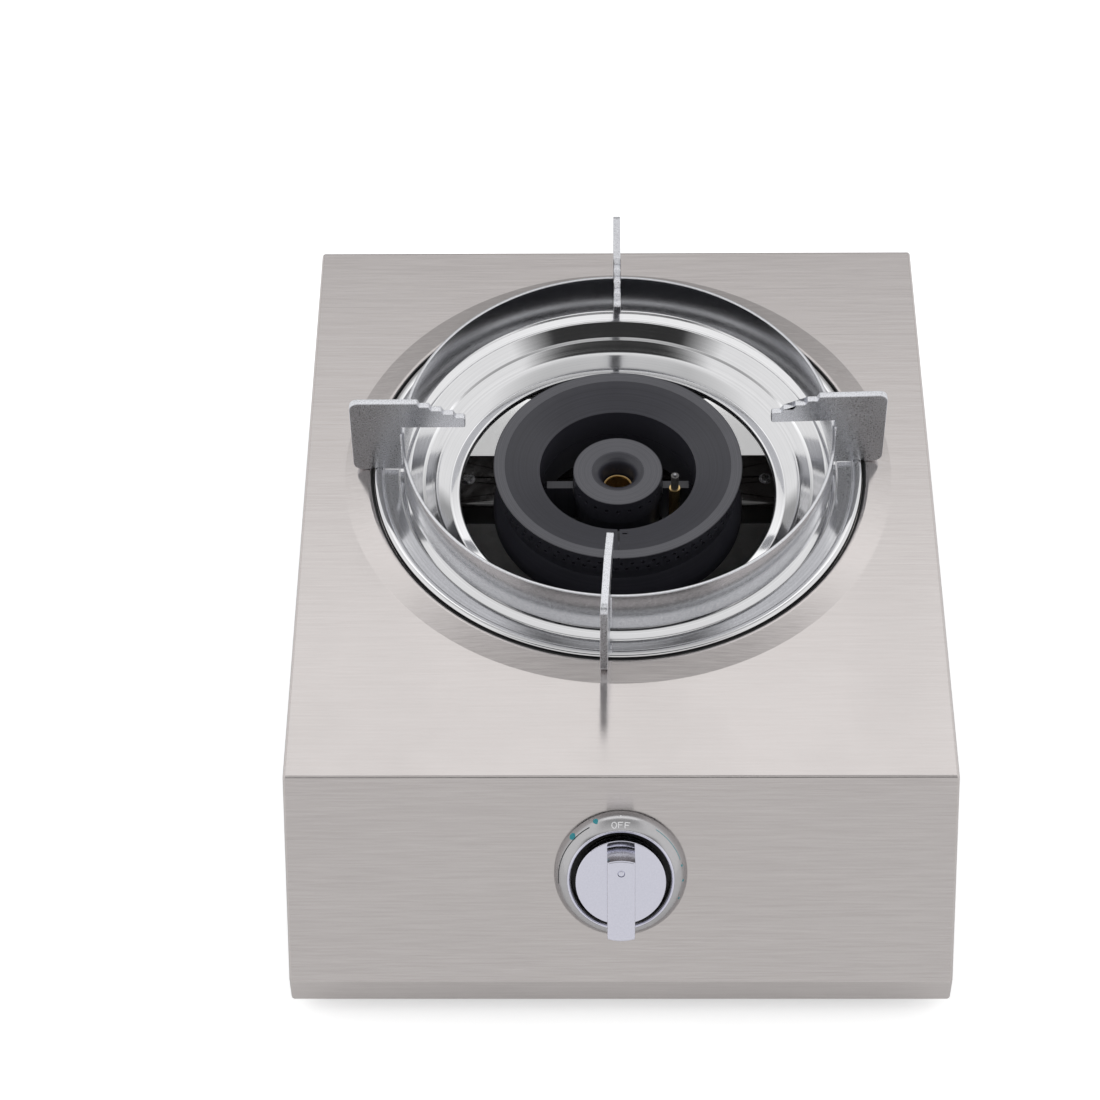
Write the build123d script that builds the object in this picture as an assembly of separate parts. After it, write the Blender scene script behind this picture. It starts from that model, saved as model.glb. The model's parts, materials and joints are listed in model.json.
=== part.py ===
from build123d import *
import os
from math import cos, radians, sin, sqrt, tan

# Single burner table-top gas stove, in millimetres.
# +X is the cook's right, +Y runs from the knob to the back and +Z is up.
# The origin is on the table, under the middle of the box that holds the whole stove.

# Sheet body
BODY_WIDTH = 300.0
TOP_DEPTH = 331.0
BODY_HEIGHT = 100.0
LIP_HEIGHT = 15.5
FRONT_TILT = 32.0
SHEET = 0.8
BEND = 1.6
HOOD_FLANGE = 12.0
PANEL_FLANGE = 13.0
BASE_SCREW_INSET = 36.0
LIP_SCREW_INSET = 7.2
REAR_SCREW_LOW = 20.0
REAR_SCREW_HIGH = 60.0
VENT_LENGTH = 36.0
VENT_WIDTH = 6.0
VENT_PITCH_X = 48.0
VENT_PITCH_Y = 15.0
AIR_OPENING_LAND = 7.0
AIR_OPENING_SETBACK = 31.0
AIR_OPENING_REAR = 10.0
AIR_OPENING_CORNER = 12.0

# Feet
FOOT_HEIGHT = 10.0
FOOT_RADIUS = 11.0
FOOT_TAPER = 1.5
FOOT_INSET = 32.0
FOOT_SCREW_RADIUS = 2.0
FOOT_HOLE_DEPTH = 4.5
FOOT_NUT_HEIGHT = 3.2
FOOT_NUT_HEX = 7.0

# Raised collar and hole in the top panel
BURNER_SETBACK = 183.0
COLLAR_SLOPE = 11.0
COLLAR_RISE = 1.6
COLLAR_LAND = 1.6
GROOVE_GAP = 1.4
LEDGE_DROP = 0.6
LEDGE_WIDTH = 4.9

# Drip bowl
BOWL_RIM_RADIUS = 117.0
BOWL_BEAD_HEIGHT = 3.2
BOWL_BEAD_WIDTH = 4.4
BOWL_OPENING = 76.0
BOWL_OPENING_DROP = 14.6
BOWL_DEPTH = 17.5
BOWL_SHEET = 0.7
BOWL_LIP_FALL = 0.8
BOWL_LIP_BEND = 1.2
# Steps inside the bead as (in from the bead, level, bend); wall and gutter as (share of the width
# out from the opening, up from the floor, bend as a share of the width)
BOWL_SHOULDER = [(0.6, 0.2, 0.5), (7.4, 0.0, 0.9), (8.0, -0.8, 0.5)]
BOWL_GUTTER = [(0.642, 16.2, 0.033), (0.492, 10.6, 0.014), (0.454, 10.2, 0.033), (0.314, 5.3, 0.246)]
BOWL_LIP_RUN = (0.137, 0.041)
BOWL_BEAD_BEND = 2.0

# Pan support
RING_INSET = 14.4
RING_WALL = 1.5
RING_BOTTOM = 4.6
RING_HEIGHT = 23.0
ARM_THICKNESS = 3.4
ARM_OVERHANG = 9.6
ARM_TOP = 47.5
ARM_UNDERSIDE = 31.2
ARM_FLAT_END = 94.6
ARM_STEPS = 4
ARM_STEP_LENGTH = 5.6
ARM_STEP_DROP = 2.5
ARM_STEP_RUN = 1.2
ARM_CORNER = 4.0
ARM_NOTCH_DEPTH = 0.8
ARM_NOTCH_ROOM = 0.5
ARM_ANGLES = {"right": 2.0, "rear": 90.0, "left": 180.2, "front": 266.7}

# Burner
CAP_RADIUS = 59.6
CAP_FOOT_RADIUS = 57.0
CAP_HOLE = 37.6
CAP_TOP = 3.3
CAP_HOLE_DROP = 1.4
CAP_LAND = 5.6
CAP_SEAT_DROP = 14.0
CAP_WALL = 4.0
CAP_INNER_WALL = 3.4
CAP_SPIGOT = 3.0
CAP_PORTS = 72
CAP_PORT_RADIUS = 0.95
CAP_PORT_DROPS = (5.0, 9.6)
CAP_SLOT_WIDTH = 1.0
CAP_SLOT_DEPTH = 1.6
CAP_MARK_LENGTH = 2.4
CAP_MARK_X = 3.0
INNER_CAP_RADIUS = 21.4
INNER_CAP_DROP = 2.2
INNER_CAP_SEAT_DROP = 16.0
INNER_CAP_WALL = 3.5
INNER_CAP_HOLE = 8.0
INNER_CAP_ROUND = 4.4
INNER_CAP_PORTS = 24
INNER_CAP_PORT_DROP = 5.6
BURNER_BASE_RADIUS = 60.4
BURNER_FLOOR_DROP = 30.0
BURNER_FLOOR = 4.0
RIB_WIDTH = 4.5
RIB_DROP = 12.0
CUP_WALL = 3.4
AIR_TUBE_RADIUS = 7.1
AIR_TUBE_WALL = 0.9
AIR_TUBE_DROP = 13.0
BOSS_WALL = 2.1

# Mixing tubes, air shutters and injectors
TUBE_DROP = 58.0
TUBE_WALL = 2.4
OUTER_TUBE_X = 24.0
OUTER_MOUTH_RADIUS = 15.0
OUTER_THROAT_RADIUS = 10.5
OUTER_RISER_RADIUS = 9.0
OUTER_RISER_BORE = 5.5
INNER_TUBE_X = -13.2
INNER_MOUTH_RADIUS = 12.0
INNER_THROAT_RADIUS = 8.0
INNER_RISER_RADIUS = 6.0
INNER_RISER_BORE = 3.6
MOUTH_LENGTH = 30.0
THROAT_LENGTH = 25.0
TUBE_END_PLATE = 2.0
SHUTTER_THICKNESS = 1.0
SHUTTER_GAP = 0.2
SHUTTER_WINDOW = 75.0
SHUTTER_LEVER = 9.0
NOSE_RADIUS = 4.5
NOSE_CLEARANCE = 0.05
NOSE_LENGTH = 8.0
INJECTOR_HEX = 11.0
INJECTOR_HEX_LENGTH = 5.0
INJECTOR_THREAD_RADIUS = 4.0
INJECTOR_THREAD = 6.0

# Bridge and brackets under the burner
BRIDGE_DROP = 45.0
BRIDGE_SETBACK = 33.0
BRIDGE_WIDTH = 34.0
BRIDGE_MARGIN = 62.0
BRIDGE_SHEET = 1.2
BRIDGE_FLANGE = 15.0
BRIDGE_SCREW_INSET = 14.0
LEG_SHEET = 1.5
LEG_WIDTH = 26.0
LEG_FLANGE = 20.0
BURNER_FOOT_X = 36.0
BURNER_FOOT_RADIUS = 6.0
BURNER_FOOT_FORWARD = 3.0
TUBE_BRACKET_SETBACK = 45.0

# Spark electrode and its lead
ELECTRODE_X = 27.3
ELECTRODE_Y = -6.0
ELECTRODE_TIP = 2.5
INSULATOR_TOP = 1.3
SLEEVE_DROP = 7.5
SLEEVE_RADIUS = 2.6
SLEEVE_LENGTH = 32.5
INSULATOR_RADIUS = 1.9
ELECTRODE_RADIUS = 0.9
ELECTRODE_CLIP_IN = 2.0
LEAD_RADIUS = 1.6
LEAD_COVER = 4.0
LEAD_RISE = 14.0
# Bends of the lead as (x, y, z) from its igniter end, then from its electrode end
LEAD_FROM_IGNITER = [(0.0, 26.0, 0.0), (3.0, 52.0, -22.0), (23.0, 85.0, -30.0)]
LEAD_TO_ELECTRODE = [(-15.0, -22.0, -15.0), (0.0, 0.0, 0.0)]
LEAD_BEND_SHARE = 0.45

# Knob, bezel and valve, measured from the sloped panel's face along its normal
KNOB_DOWN = 46.0
KNOB_RADIUS = 20.1
KNOB_FACE = 11.5
KNOB_BACK = 6.6
KNOB_HEIGHT = 31.0
KNOB_BAR_WIDTH = 12.2
KNOB_BAR_TOP = 18.8
KNOB_EDGE = 0.7
KNOB_GRIP_ROUND = 2.4
KNOB_HUB = 8.0
KNOB_HUB_DEPTH = 2.0
KNOB_WALL = 2.0
KNOB_MARK = 12.8
KNOB_MARK_RADIUS = 1.6
KNOB_TRAVEL = 4.0
BEZEL_RADIUS = 29.8
BEZEL_HEIGHT = 8.5
BEZEL_LIP = 24.0
BEZEL_WALL = 1.4
BEZEL_BULGE = 1.0
BEZEL_ROOF = 3.1
BEZEL_PEG = 26.0
BEZEL_PEG_RADIUS = 1.5
STEM_RADIUS = 4.0
STEM_FLAT = 2.6
STEM_OUT = 19.0
STEM_IN = 26.0
STEM_COLLAR = 8.0
STEM_COLLAR_THICKNESS = 2.0
PANEL_HOLE = 7.0
VALVE_RADIUS = 16.0
VALVE_LENGTH = 40.0
VALVE_FLANGE = (44.0, 30.0, 4.0)
VALVE_SCREW_X = 15.0
COVER_RADIUS = 12.0
COVER_THICKNESS = 3.0
CHAMBER_RADIUS = 10.0
PLUG_RADIUS = 9.0
PLUG_FRONT = 20.3
PLUG_LENGTH = 17.3
RUN_CLEARANCE = 0.05
SPRING_WIRE = 0.55
SPRING_RADIUS = 6.0
SPRING_TURNS = 5
BLOCK_RIGHT = 40.0
BLOCK_LEFT = -30.0
BLOCK_REAR = 22.0
BLOCK_FRONT = -4.0
BLOCK_HEIGHT = 24.0
PIEZO_SIZE = (14.0, 36.0, 14.0)
PIEZO_FORWARD = 2.0
PIEZO_STUD = 6.0

# Gas inlet
PIPE_RADIUS = 5.0
PIPE_WALL = 1.2
PIPE_X = 118.0
PIPE_BEND = 26.0
PIPE_SETBACK = 3.0
NUT_HEX = 17.0
NUT_LENGTH = 12.0
NIPPLE_REACH = 26.0
NIPPLE_RADIUS = 4.75
NIPPLE_BORE = 3.0
NIPPLE_GROOVE = 0.5
NIPPLE_THREAD = 6.0
NIPPLE_SHOULDER = 10.0
NIPPLE_INSIDE = 28.0
LOCKNUT_LENGTH = 5.0

# Small fasteners
SCREW_RADIUS = 1.9
SCREW_HEAD = 3.4
SCREW_HEAD_HEIGHT = 1.9
SCREW_LENGTH = 7.0
CLIP_SCREW_LENGTH = 4.5
SEAT_GAP = 0.2
SLIDE_GAP = 0.3

# Levels and places that follow from the sizes
TILT = radians(FRONT_TILT)
LOW_Z = FOOT_HEIGHT
TOP_Z = LOW_Z + BODY_HEIGHT
TRAY_TOP = LOW_Z + 2 * SHEET
FRONT_RUN = (BODY_HEIGHT - LIP_HEIGHT) * tan(TILT)
KNOB_FRONT = (
    (KNOB_DOWN + KNOB_RADIUS - KNOB_GRIP_ROUND) * sin(TILT)
    + (KNOB_HEIGHT - KNOB_GRIP_ROUND) * cos(TILT)
    + KNOB_GRIP_ROUND
)
FRONT_Y = (max(KNOB_FRONT, FRONT_RUN) - TOP_DEPTH - NIPPLE_REACH) / 2
LIP_Y = FRONT_Y - FRONT_RUN
REAR_Y = FRONT_Y + TOP_DEPTH
BURNER_Y = FRONT_Y + BURNER_SETBACK
HALF_WIDTH = BODY_WIDTH / 2
GROOVE_RADIUS = BOWL_RIM_RADIUS + GROOVE_GAP
COLLAR_CREST = GROOVE_RADIUS + COLLAR_LAND
COLLAR_RADIUS = COLLAR_CREST + COLLAR_SLOPE
HOLE_RADIUS = GROOVE_RADIUS - LEDGE_WIDTH
RING_RADIUS = BOWL_RIM_RADIUS - RING_INSET
ARM_REACH = BOWL_RIM_RADIUS + ARM_OVERHANG
BRIDGE_LENGTH = BODY_WIDTH - 2 * BRIDGE_MARGIN
BRIDGE_SCREW_X = BRIDGE_LENGTH / 2 - BRIDGE_SCREW_INSET
BURNER_UNDER = TOP_Z - BURNER_FLOOR_DROP - BURNER_FLOOR
TUBE_Z = TOP_Z - TUBE_DROP
BRIDGE_Z = TOP_Z - BRIDGE_DROP
HEX_FACE_Y = FRONT_Y + BLOCK_REAR + INJECTOR_HEX_LENGTH
MOUTH_Y = HEX_FACE_Y + SHUTTER_THICKNESS + 2 * SHUTTER_GAP
TROUGH_MIDDLE = (CAP_HOLE + CAP_INNER_WALL + CAP_FOOT_RADIUS - CAP_WALL) / 2
OUTER_RISER_Y = BURNER_Y - sqrt(TROUGH_MIDDLE**2 - OUTER_TUBE_X**2)
PANEL = Plane(
    origin=(0, FRONT_Y - KNOB_DOWN * sin(TILT), TOP_Z - KNOB_DOWN * cos(TILT)),
    x_dir=(1, 0, 0),
    z_dir=(0, -cos(TILT), sin(TILT)),
)


def body_profile(inset, floor):
    """Side outline of the body, (y, z), drawn in by inset on its top, front, lip and back."""
    return [
        (FRONT_Y + inset * (1 - sin(TILT)) / cos(TILT), TOP_Z - inset),
        (REAR_Y - inset, TOP_Z - inset),
        (REAR_Y - inset, floor),
        (LIP_Y + inset, floor),
        (LIP_Y + inset, LOW_Z + LIP_HEIGHT - inset * tan(TILT / 2)),
    ]


def side_prism(points, left, right):
    """Solid with a side outline of (y, z) points, from x = left to x = right."""
    outline = Plane.YZ * make_face(Polyline(*points, close=True))
    return Pos(left, 0, 0) * extrude(outline, right - left, dir=(1, 0, 0))


def block(low, high):
    """Box between two corners."""
    size = [b - a for a, b in zip(low, high)]
    middle = [(a + b) / 2 for a, b in zip(low, high)]
    return Pos(*middle) * Box(*size)


def strip_face(points, radii, thickness):
    """Section of a bent sheet: the points run along one face and the sheet lies to their left."""
    corners = [Vector(*p) for p in points]
    steps = [b - a for a, b in zip(corners, corners[1:])]
    lefts = [Vector(-s.Y, s.X).normalized() for s in steps]
    far = [corners[0] + lefts[0] * thickness]
    far_radii = []
    for index, radius in enumerate(radii):
        before, after = lefts[index], lefts[index + 1]
        far.append(corners[index + 1] + (before + after) * (thickness / (1 + before.dot(after))))
        turns_left = steps[index].cross(steps[index + 1]).Z > 0
        far_radii.append(radius - thickness if turns_left else radius + thickness)
    far.append(corners[-1] + lefts[-1] * thickness)
    near_edges = FilletPolyline(*corners, radius=radii).edges()
    far_edges = FilletPolyline(*far, radius=far_radii).edges()
    ends = [Line(corners[0], far[0]).edge(), Line(corners[-1], far[-1]).edge()]
    return make_face([*near_edges, *far_edges, *ends])


def turned(section):
    """Solid of revolution about the burner's axis from an (r, z) section, z from the top panel."""
    return Pos(0, BURNER_Y, TOP_Z) * revolve(Plane.XZ * section, Axis.Z)


def turned_points(*points):
    """Solid of revolution about the burner's axis from straight-sided (r, z) points."""
    return turned(make_face(Polyline(*points, close=True)))


def at_burner(x, y, drop):
    """Place measured from the burner's axis, with drop below the top panel."""
    return Pos(x, BURNER_Y + y, TOP_Z - drop)


def hexagon(across, length):
    """Hexagonal bar on Z, from z = 0 to its length."""
    return extrude(RegularPolygon(across / 2, 6, major_radius=False), length)


def screw(length=SCREW_LENGTH, radius=SCREW_RADIUS, head=SCREW_HEAD, head_height=SCREW_HEAD_HEIGHT):
    """Pan-head screw on Z with its head's seat at z = 0 and its shank downwards."""
    top = Pos(0, 0, head_height / 2) * Cylinder(head, head_height)
    top = fillet(top.edges().sort_by(Axis.Z)[-1:], head_height * 0.6)
    recess_depth = head_height * 0.6
    bar = Pos(0, 0, head_height) * Box(head * 1.1, head * 0.3, 2 * recess_depth)
    top -= [bar, Rot(0, 0, 90) * bar]
    return top + Pos(0, 0, -length / 2) * Cylinder(radius, length)


def down_hole(radius, depth):
    """Drill on Z from just above z = 0 down to the depth."""
    return Pos(0, 0, -depth / 2) * Cylinder(radius, depth + SHEET)


# Screw places: each is the plane of a head's seat, with z pointing away from the work
def facing(x, y, z, towards):
    """Plane at a point, facing along a world axis."""
    return Plane(origin=(x, y, z), z_dir=towards)


SIDE_INNER = HALF_WIDTH - 2 * SHEET
FLANGE_MIDDLE_X = HALF_WIDTH - SHEET - PANEL_FLANGE / 2
REAR_PANEL_HALF = HALF_WIDTH - SHEET - BEND
BASE_SCREWS = [
    facing(side * FLANGE_MIDDLE_X, y, LOW_Z, (0, 0, -1))
    for side in (-1, 1)
    for y in (LIP_Y + BASE_SCREW_INSET, REAR_Y - BASE_SCREW_INSET)
] + [facing(side * HALF_WIDTH / 3, LIP_Y + LIP_SCREW_INSET, LOW_Z, (0, 0, -1)) for side in (-1, 1)]
REAR_SCREWS = [
    facing(side * FLANGE_MIDDLE_X, REAR_Y - SHEET, LOW_Z + level, (0, 1, 0))
    for side in (-1, 1)
    for level in (REAR_SCREW_LOW, REAR_SCREW_HIGH)
] + [facing(side * HALF_WIDTH / 2, REAR_Y, TOP_Z - HOOD_FLANGE / 2, (0, 1, 0)) for side in (-1, 1)]
VALVE_SCREWS = [PANEL * Pos(side * VALVE_SCREW_X, 0, 0) for side in (-1, 1)]
BEZEL_PEGS = [PANEL * Pos(0, side * BEZEL_PEG, 0) for side in (-1, 1)]
FEET = {
    f"{row}_{side}": (x, y)
    for row, y in (("front", LIP_Y + FOOT_INSET), ("rear", REAR_Y - FOOT_INSET))
    for side, x in (("left", -HALF_WIDTH + FOOT_INSET), ("right", HALF_WIDTH - FOOT_INSET))
}


def hood():
    """Top, sloped front and lip folded from one sheet, with turned-in edges and a raised collar."""
    outer = side_prism(body_profile(0, LOW_Z), -HALF_WIDTH, HALF_WIDTH)
    outer = fillet(outer.edges(), BEND)
    inner = side_prism(body_profile(SHEET, LOW_Z + SHEET), SHEET - HALF_WIDTH, HALF_WIDTH - SHEET)
    inner = fillet(inner.edges(), BEND - SHEET)
    past = REAR_Y + BODY_WIDTH
    under = LOW_Z - BODY_HEIGHT
    opening = body_profile(HOOD_FLANGE, under)
    opening[1] = (past, opening[1][1])
    opening[2] = (past, under)
    shell = outer - inner - side_prism(opening, -BODY_WIDTH, BODY_WIDTH)
    tab = COLLAR_RADIUS + 2 * SHEET
    shell -= at_burner(0, 0, 0) * Cylinder(tab, 4 * BEND)
    collar = strip_face(
        [
            (tab, 0),
            (COLLAR_RADIUS, 0),
            (COLLAR_CREST, COLLAR_RISE),
            (GROOVE_RADIUS, COLLAR_RISE),
            (GROOVE_RADIUS, -LEDGE_DROP),
            (HOLE_RADIUS, -LEDGE_DROP),
        ],
        [2 * SHEET, 1.5 * SHEET, 1.25 * SHEET, SHEET / 2],
        SHEET,
    )
    shell += turned(collar)
    drills = [PANEL * Cylinder(PANEL_HOLE, 4 * SHEET)]
    drills += [place * Cylinder(SCREW_RADIUS + SEAT_GAP, 4 * SHEET) for place in VALVE_SCREWS]
    drills += [place * Cylinder(BEZEL_PEG_RADIUS + SEAT_GAP, 4 * SHEET) for place in BEZEL_PEGS]
    drills += [place * down_hole(SCREW_RADIUS, SCREW_LENGTH) for place in REAR_SCREWS[4:] + BASE_SCREWS[4:]]
    return shell - drills


def side_panel(side):
    """Flat side with turned-in edges at its back and bottom; side is -1 for left, 1 for right."""
    inset = SHEET + BEND
    outline = body_profile(inset, LOW_Z)
    back = REAR_Y - 2 * SHEET
    lip_end = LIP_Y + HOOD_FLANGE
    outline[1] = (back, TOP_Z - inset)
    outline[2] = (back, LOW_Z)
    outline[3:4] = [(lip_end, LOW_Z), (lip_end, LOW_Z + inset), (LIP_Y + inset, LOW_Z + inset)]
    panel = side_prism(outline, SIDE_INNER, SIDE_INNER + SHEET)
    flange_x = HALF_WIDTH - SHEET - PANEL_FLANGE
    panel += block((flange_x, lip_end, LOW_Z), (SIDE_INNER + SHEET, back - SHEET, LOW_Z + SHEET))
    panel += block((flange_x, back - SHEET, TRAY_TOP), (SIDE_INNER + SHEET, back, TOP_Z - inset))
    drills = [p * down_hole(SCREW_RADIUS, SCREW_LENGTH) for p in BASE_SCREWS[2:4] + REAR_SCREWS[2:4]]
    panel -= drills
    return panel if side > 0 else mirror(panel, Plane.YZ)


def rear_panel():
    """Flat back with ventilation slots and the hole for the gas inlet."""
    back = REAR_Y - SHEET
    panel = block((-REAR_PANEL_HALF, back - SHEET, LOW_Z), (REAR_PANEL_HALF, back, TOP_Z - SHEET - BEND))
    slot = extrude(SlotOverall(VENT_LENGTH, VENT_WIDTH), 4 * SHEET, both=True)
    middle_z = LOW_Z + BODY_HEIGHT / 2
    middle = Plane(origin=(-VENT_PITCH_X / 2, back, middle_z), x_dir=(1, 0, 0), z_dir=(0, -1, 0))
    panel -= [middle * place * slot for place in GridLocations(VENT_PITCH_X, VENT_PITCH_Y, 4, 3)]
    panel -= Pos(PIPE_X, back, TUBE_Z) * Rot(90, 0, 0) * Cylinder(NIPPLE_THREAD, 4 * SHEET)
    return panel - [place * down_hole(SCREW_RADIUS, SCREW_LENGTH) for place in REAR_SCREWS]


def base_tray():
    """Flat base plate with air slots under the burner and a wide air opening between the rear feet."""
    tray = block(
        (-SIDE_INNER, LIP_Y + SHEET + BEND, LOW_Z + SHEET),
        (SIDE_INNER, REAR_Y - 2 * SHEET, TRAY_TOP),
    )
    slot = extrude(SlotOverall(VENT_LENGTH, VENT_WIDTH), 4 * SHEET, both=True)
    tray -= [Pos(0, BURNER_Y, TRAY_TOP) * p * slot for p in GridLocations(VENT_PITCH_X, VENT_PITCH_Y, 2, 3)]
    half = HALF_WIDTH - FOOT_INSET - FOOT_RADIUS - AIR_OPENING_LAND
    opening = block(
        (-half, BRIDGE_Y + AIR_OPENING_SETBACK, LOW_Z),
        (half, REAR_Y - AIR_OPENING_REAR, TRAY_TOP + SHEET),
    )
    tray -= fillet(opening.edges().filter_by(Axis.Z), AIR_OPENING_CORNER)
    tray -= [place * down_hole(SCREW_RADIUS, SCREW_LENGTH) for place in BASE_SCREWS]
    tray -= [Pos(x, y, TRAY_TOP) * Cylinder(FOOT_SCREW_RADIUS, 4 * SHEET) for x, y in FEET.values()]
    floor_screws = LEG_FOOT_SCREWS + TUBE_BRACKET_SCREWS
    return tray - [place * down_hole(SCREW_RADIUS, SCREW_LENGTH) for place in floor_screws]


def foot(x, y):
    """Tapered rubber foot under the tray, with a recess for its screw's head."""
    height = FOOT_HEIGHT + SHEET
    section = make_face(
        Polyline((0, 0), (FOOT_RADIUS - FOOT_TAPER, 0), (FOOT_RADIUS, height), (0, height), close=True)
    )
    body = revolve(Plane.XZ * section, Axis.Z)
    body = fillet(body.edges().sort_by(Axis.Z)[:1], FOOT_TAPER / 2)
    recess = Pos(0, 0, FOOT_HOLE_DEPTH / 2) * Cylinder(SCREW_HEAD + FOOT_TAPER, FOOT_HOLE_DEPTH)
    hole = Pos(0, 0, height / 2) * Cylinder(FOOT_SCREW_RADIUS, height)
    return Pos(x, y, 0) * (body - recess - hole)


def foot_screws():
    """One screw in each foot, with its head up inside the recess."""
    length = TRAY_TOP + FOOT_NUT_HEIGHT + SHEET - FOOT_HOLE_DEPTH
    one = Rot(180, 0, 0) * screw(length, FOOT_SCREW_RADIUS)
    return Compound([Pos(x, y, FOOT_HOLE_DEPTH) * one for x, y in FEET.values()])


def foot_nuts():
    """One nut on the tray above each foot."""
    one = hexagon(FOOT_NUT_HEX, FOOT_NUT_HEIGHT)
    one -= Cylinder(FOOT_SCREW_RADIUS, 3 * FOOT_NUT_HEIGHT)
    return Compound([Pos(x, y, TRAY_TOP) * one for x, y in FEET.values()])


def drip_bowl():
    """Pressed bowl: a rolled rim on the ledge, a stepped wall, a gutter and a turned-down opening."""
    top = BOWL_BEAD_HEIGHT - LEDGE_DROP
    bead = BOWL_RIM_RADIUS - BOWL_BEAD_WIDTH
    lip = -BOWL_OPENING_DROP
    floor = -BOWL_DEPTH
    width = bead - BOWL_OPENING
    lip_run, lip_bend = BOWL_LIP_RUN
    corners = [(BOWL_RIM_RADIUS, top, BOWL_BEAD_BEND), (bead, top, BOWL_BEAD_BEND)]
    corners += [(bead - inward, level, bend) for inward, level, bend in BOWL_SHOULDER]
    corners += [(BOWL_OPENING + out * width, floor + rise, bend * width) for out, rise, bend in BOWL_GUTTER]
    corners += [(BOWL_OPENING + lip_run * width, lip - BOWL_LIP_FALL, lip_bend * width)]
    corners += [(BOWL_OPENING, lip, BOWL_LIP_BEND)]
    points = [(BOWL_RIM_RADIUS, -LEDGE_DROP), *[(r, z) for r, z, _ in corners], (BOWL_OPENING, floor)]
    return turned(strip_face(points, [bend for _, _, bend in corners], BOWL_SHEET))


def pan_support_ring():
    """Hoop of flat bar that joins the four arms."""
    low, high = RING_BOTTOM, RING_BOTTOM + RING_HEIGHT
    inside = RING_RADIUS - RING_WALL
    ring = turned_points((inside, low), (RING_RADIUS, low), (RING_RADIUS, high), (inside, high))
    return fillet(ring.edges().filter_by(GeomType.CIRCLE), RING_WALL / 4)


def pan_support_arm(angle):
    """Flag-shaped plate welded to the hoop's outside, with a stepped tip over the burner."""
    bead_top = BOWL_BEAD_HEIGHT - LEDGE_DROP
    notch_top = bead_top + SEAT_GAP
    foot = notch_top - ARM_NOTCH_DEPTH
    notch_out = BOWL_RIM_RADIUS + ARM_NOTCH_ROOM
    notch_in = BOWL_RIM_RADIUS - BOWL_BEAD_WIDTH - ARM_NOTCH_ROOM
    root = RING_RADIUS - RING_WALL / 2
    tip = ARM_FLAT_END - ARM_STEPS * ARM_STEP_LENGTH
    stairs = []
    for step in range(ARM_STEPS):
        start = ARM_FLAT_END - step * ARM_STEP_LENGTH
        level = ARM_TOP - step * ARM_STEP_DROP
        stairs += [(start, level), (start - ARM_STEP_RUN, level - ARM_STEP_DROP)]
    tip_top = ARM_TOP - ARM_STEPS * ARM_STEP_DROP
    points = [
        (root, foot),
        (notch_in, foot),
        (notch_in, notch_top),
        (notch_out, notch_top),
        (notch_out, foot),
        (ARM_REACH, foot),
        (ARM_REACH, ARM_TOP),
        *stairs,
        (tip, tip_top),
        (tip, ARM_UNDERSIDE),
        (root, ARM_UNDERSIDE),
    ]
    outline = make_face(Polyline(*points, close=True))
    reach_corners = [v for v in outline.vertices() if v.X > ARM_REACH - SEAT_GAP]
    outline = fillet(reach_corners, ARM_CORNER)
    tip_corners = [v for v in outline.vertices() if v.X < tip + SEAT_GAP]
    outline = fillet(tip_corners, ARM_STEP_RUN)
    plate = extrude(Plane.XZ * outline, ARM_THICKNESS / 2, both=True)
    hoop_room = Pos(0, 0, (foot + ARM_UNDERSIDE) / 2) * Cylinder(RING_RADIUS, ARM_UNDERSIDE - foot)
    return at_burner(0, 0, 0) * Rot(0, 0, angle) * (plate - hoop_room)


def radial_ports(count, radius, place_radius, drop, turn=0.0):
    """Drills that point outwards all round the burner's axis."""
    drill = Rot(0, 90, 0) * Cylinder(radius, 4 * CAP_WALL)
    step = 360 / count
    return [
        at_burner(0, 0, drop) * Rot(0, 0, step * index + turn) * Pos(place_radius, 0, 0) * drill
        for index in range(count)
    ]


def outer_flame_cap():
    """Ring-shaped cap with two rows of flame ports, hollow underneath."""
    inner_wall = CAP_HOLE + CAP_INNER_WALL
    roof = CAP_WALL
    land = CAP_RADIUS - CAP_LAND
    cap = turned_points(
        (CAP_HOLE, -CAP_HOLE_DROP),
        (land, CAP_TOP - SEAT_GAP),
        (CAP_RADIUS, CAP_TOP),
        (CAP_FOOT_RADIUS, -CAP_SEAT_DROP),
        (CAP_FOOT_RADIUS - CAP_WALL, -CAP_SEAT_DROP),
        (CAP_RADIUS - CAP_WALL - SHEET, CAP_TOP - roof),
        (inner_wall, -CAP_HOLE_DROP - roof),
        (inner_wall, -CAP_SEAT_DROP - CAP_SPIGOT),
        (CAP_HOLE, -CAP_SEAT_DROP - CAP_SPIGOT),
    )
    for row, below in enumerate(CAP_PORT_DROPS):
        turn = (row + 0.5) * 180 / CAP_PORTS
        cap -= radial_ports(CAP_PORTS, CAP_PORT_RADIUS, CAP_RADIUS - SHEET, below - CAP_TOP, turn)
    slot_length = CAP_RADIUS
    slot_middle = -CAP_HOLE - slot_length / 2
    slot = Pos(0, slot_middle, CAP_TOP) * Box(CAP_SLOT_WIDTH, slot_length, 2 * CAP_SLOT_DEPTH)
    slope_fall = CAP_TOP + CAP_HOLE_DROP
    slot += Pos(0, -CAP_HOLE, 0) * Box(CAP_SLOT_WIDTH, CAP_HOLE / 2, 2 * CAP_SLOT_DEPTH + slope_fall / 2)
    mark = Pos(0, -CAP_HOLE - CAP_INNER_WALL, -CAP_HOLE_DROP) * Box(
        CAP_MARK_LENGTH, CAP_SLOT_WIDTH, slope_fall
    )
    marks = [Pos(side * CAP_MARK_X, 0, 0) * mark for side in (-1, 1)]
    return cap - [at_burner(0, 0, 0) * cut for cut in [slot, *marks]]


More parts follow.
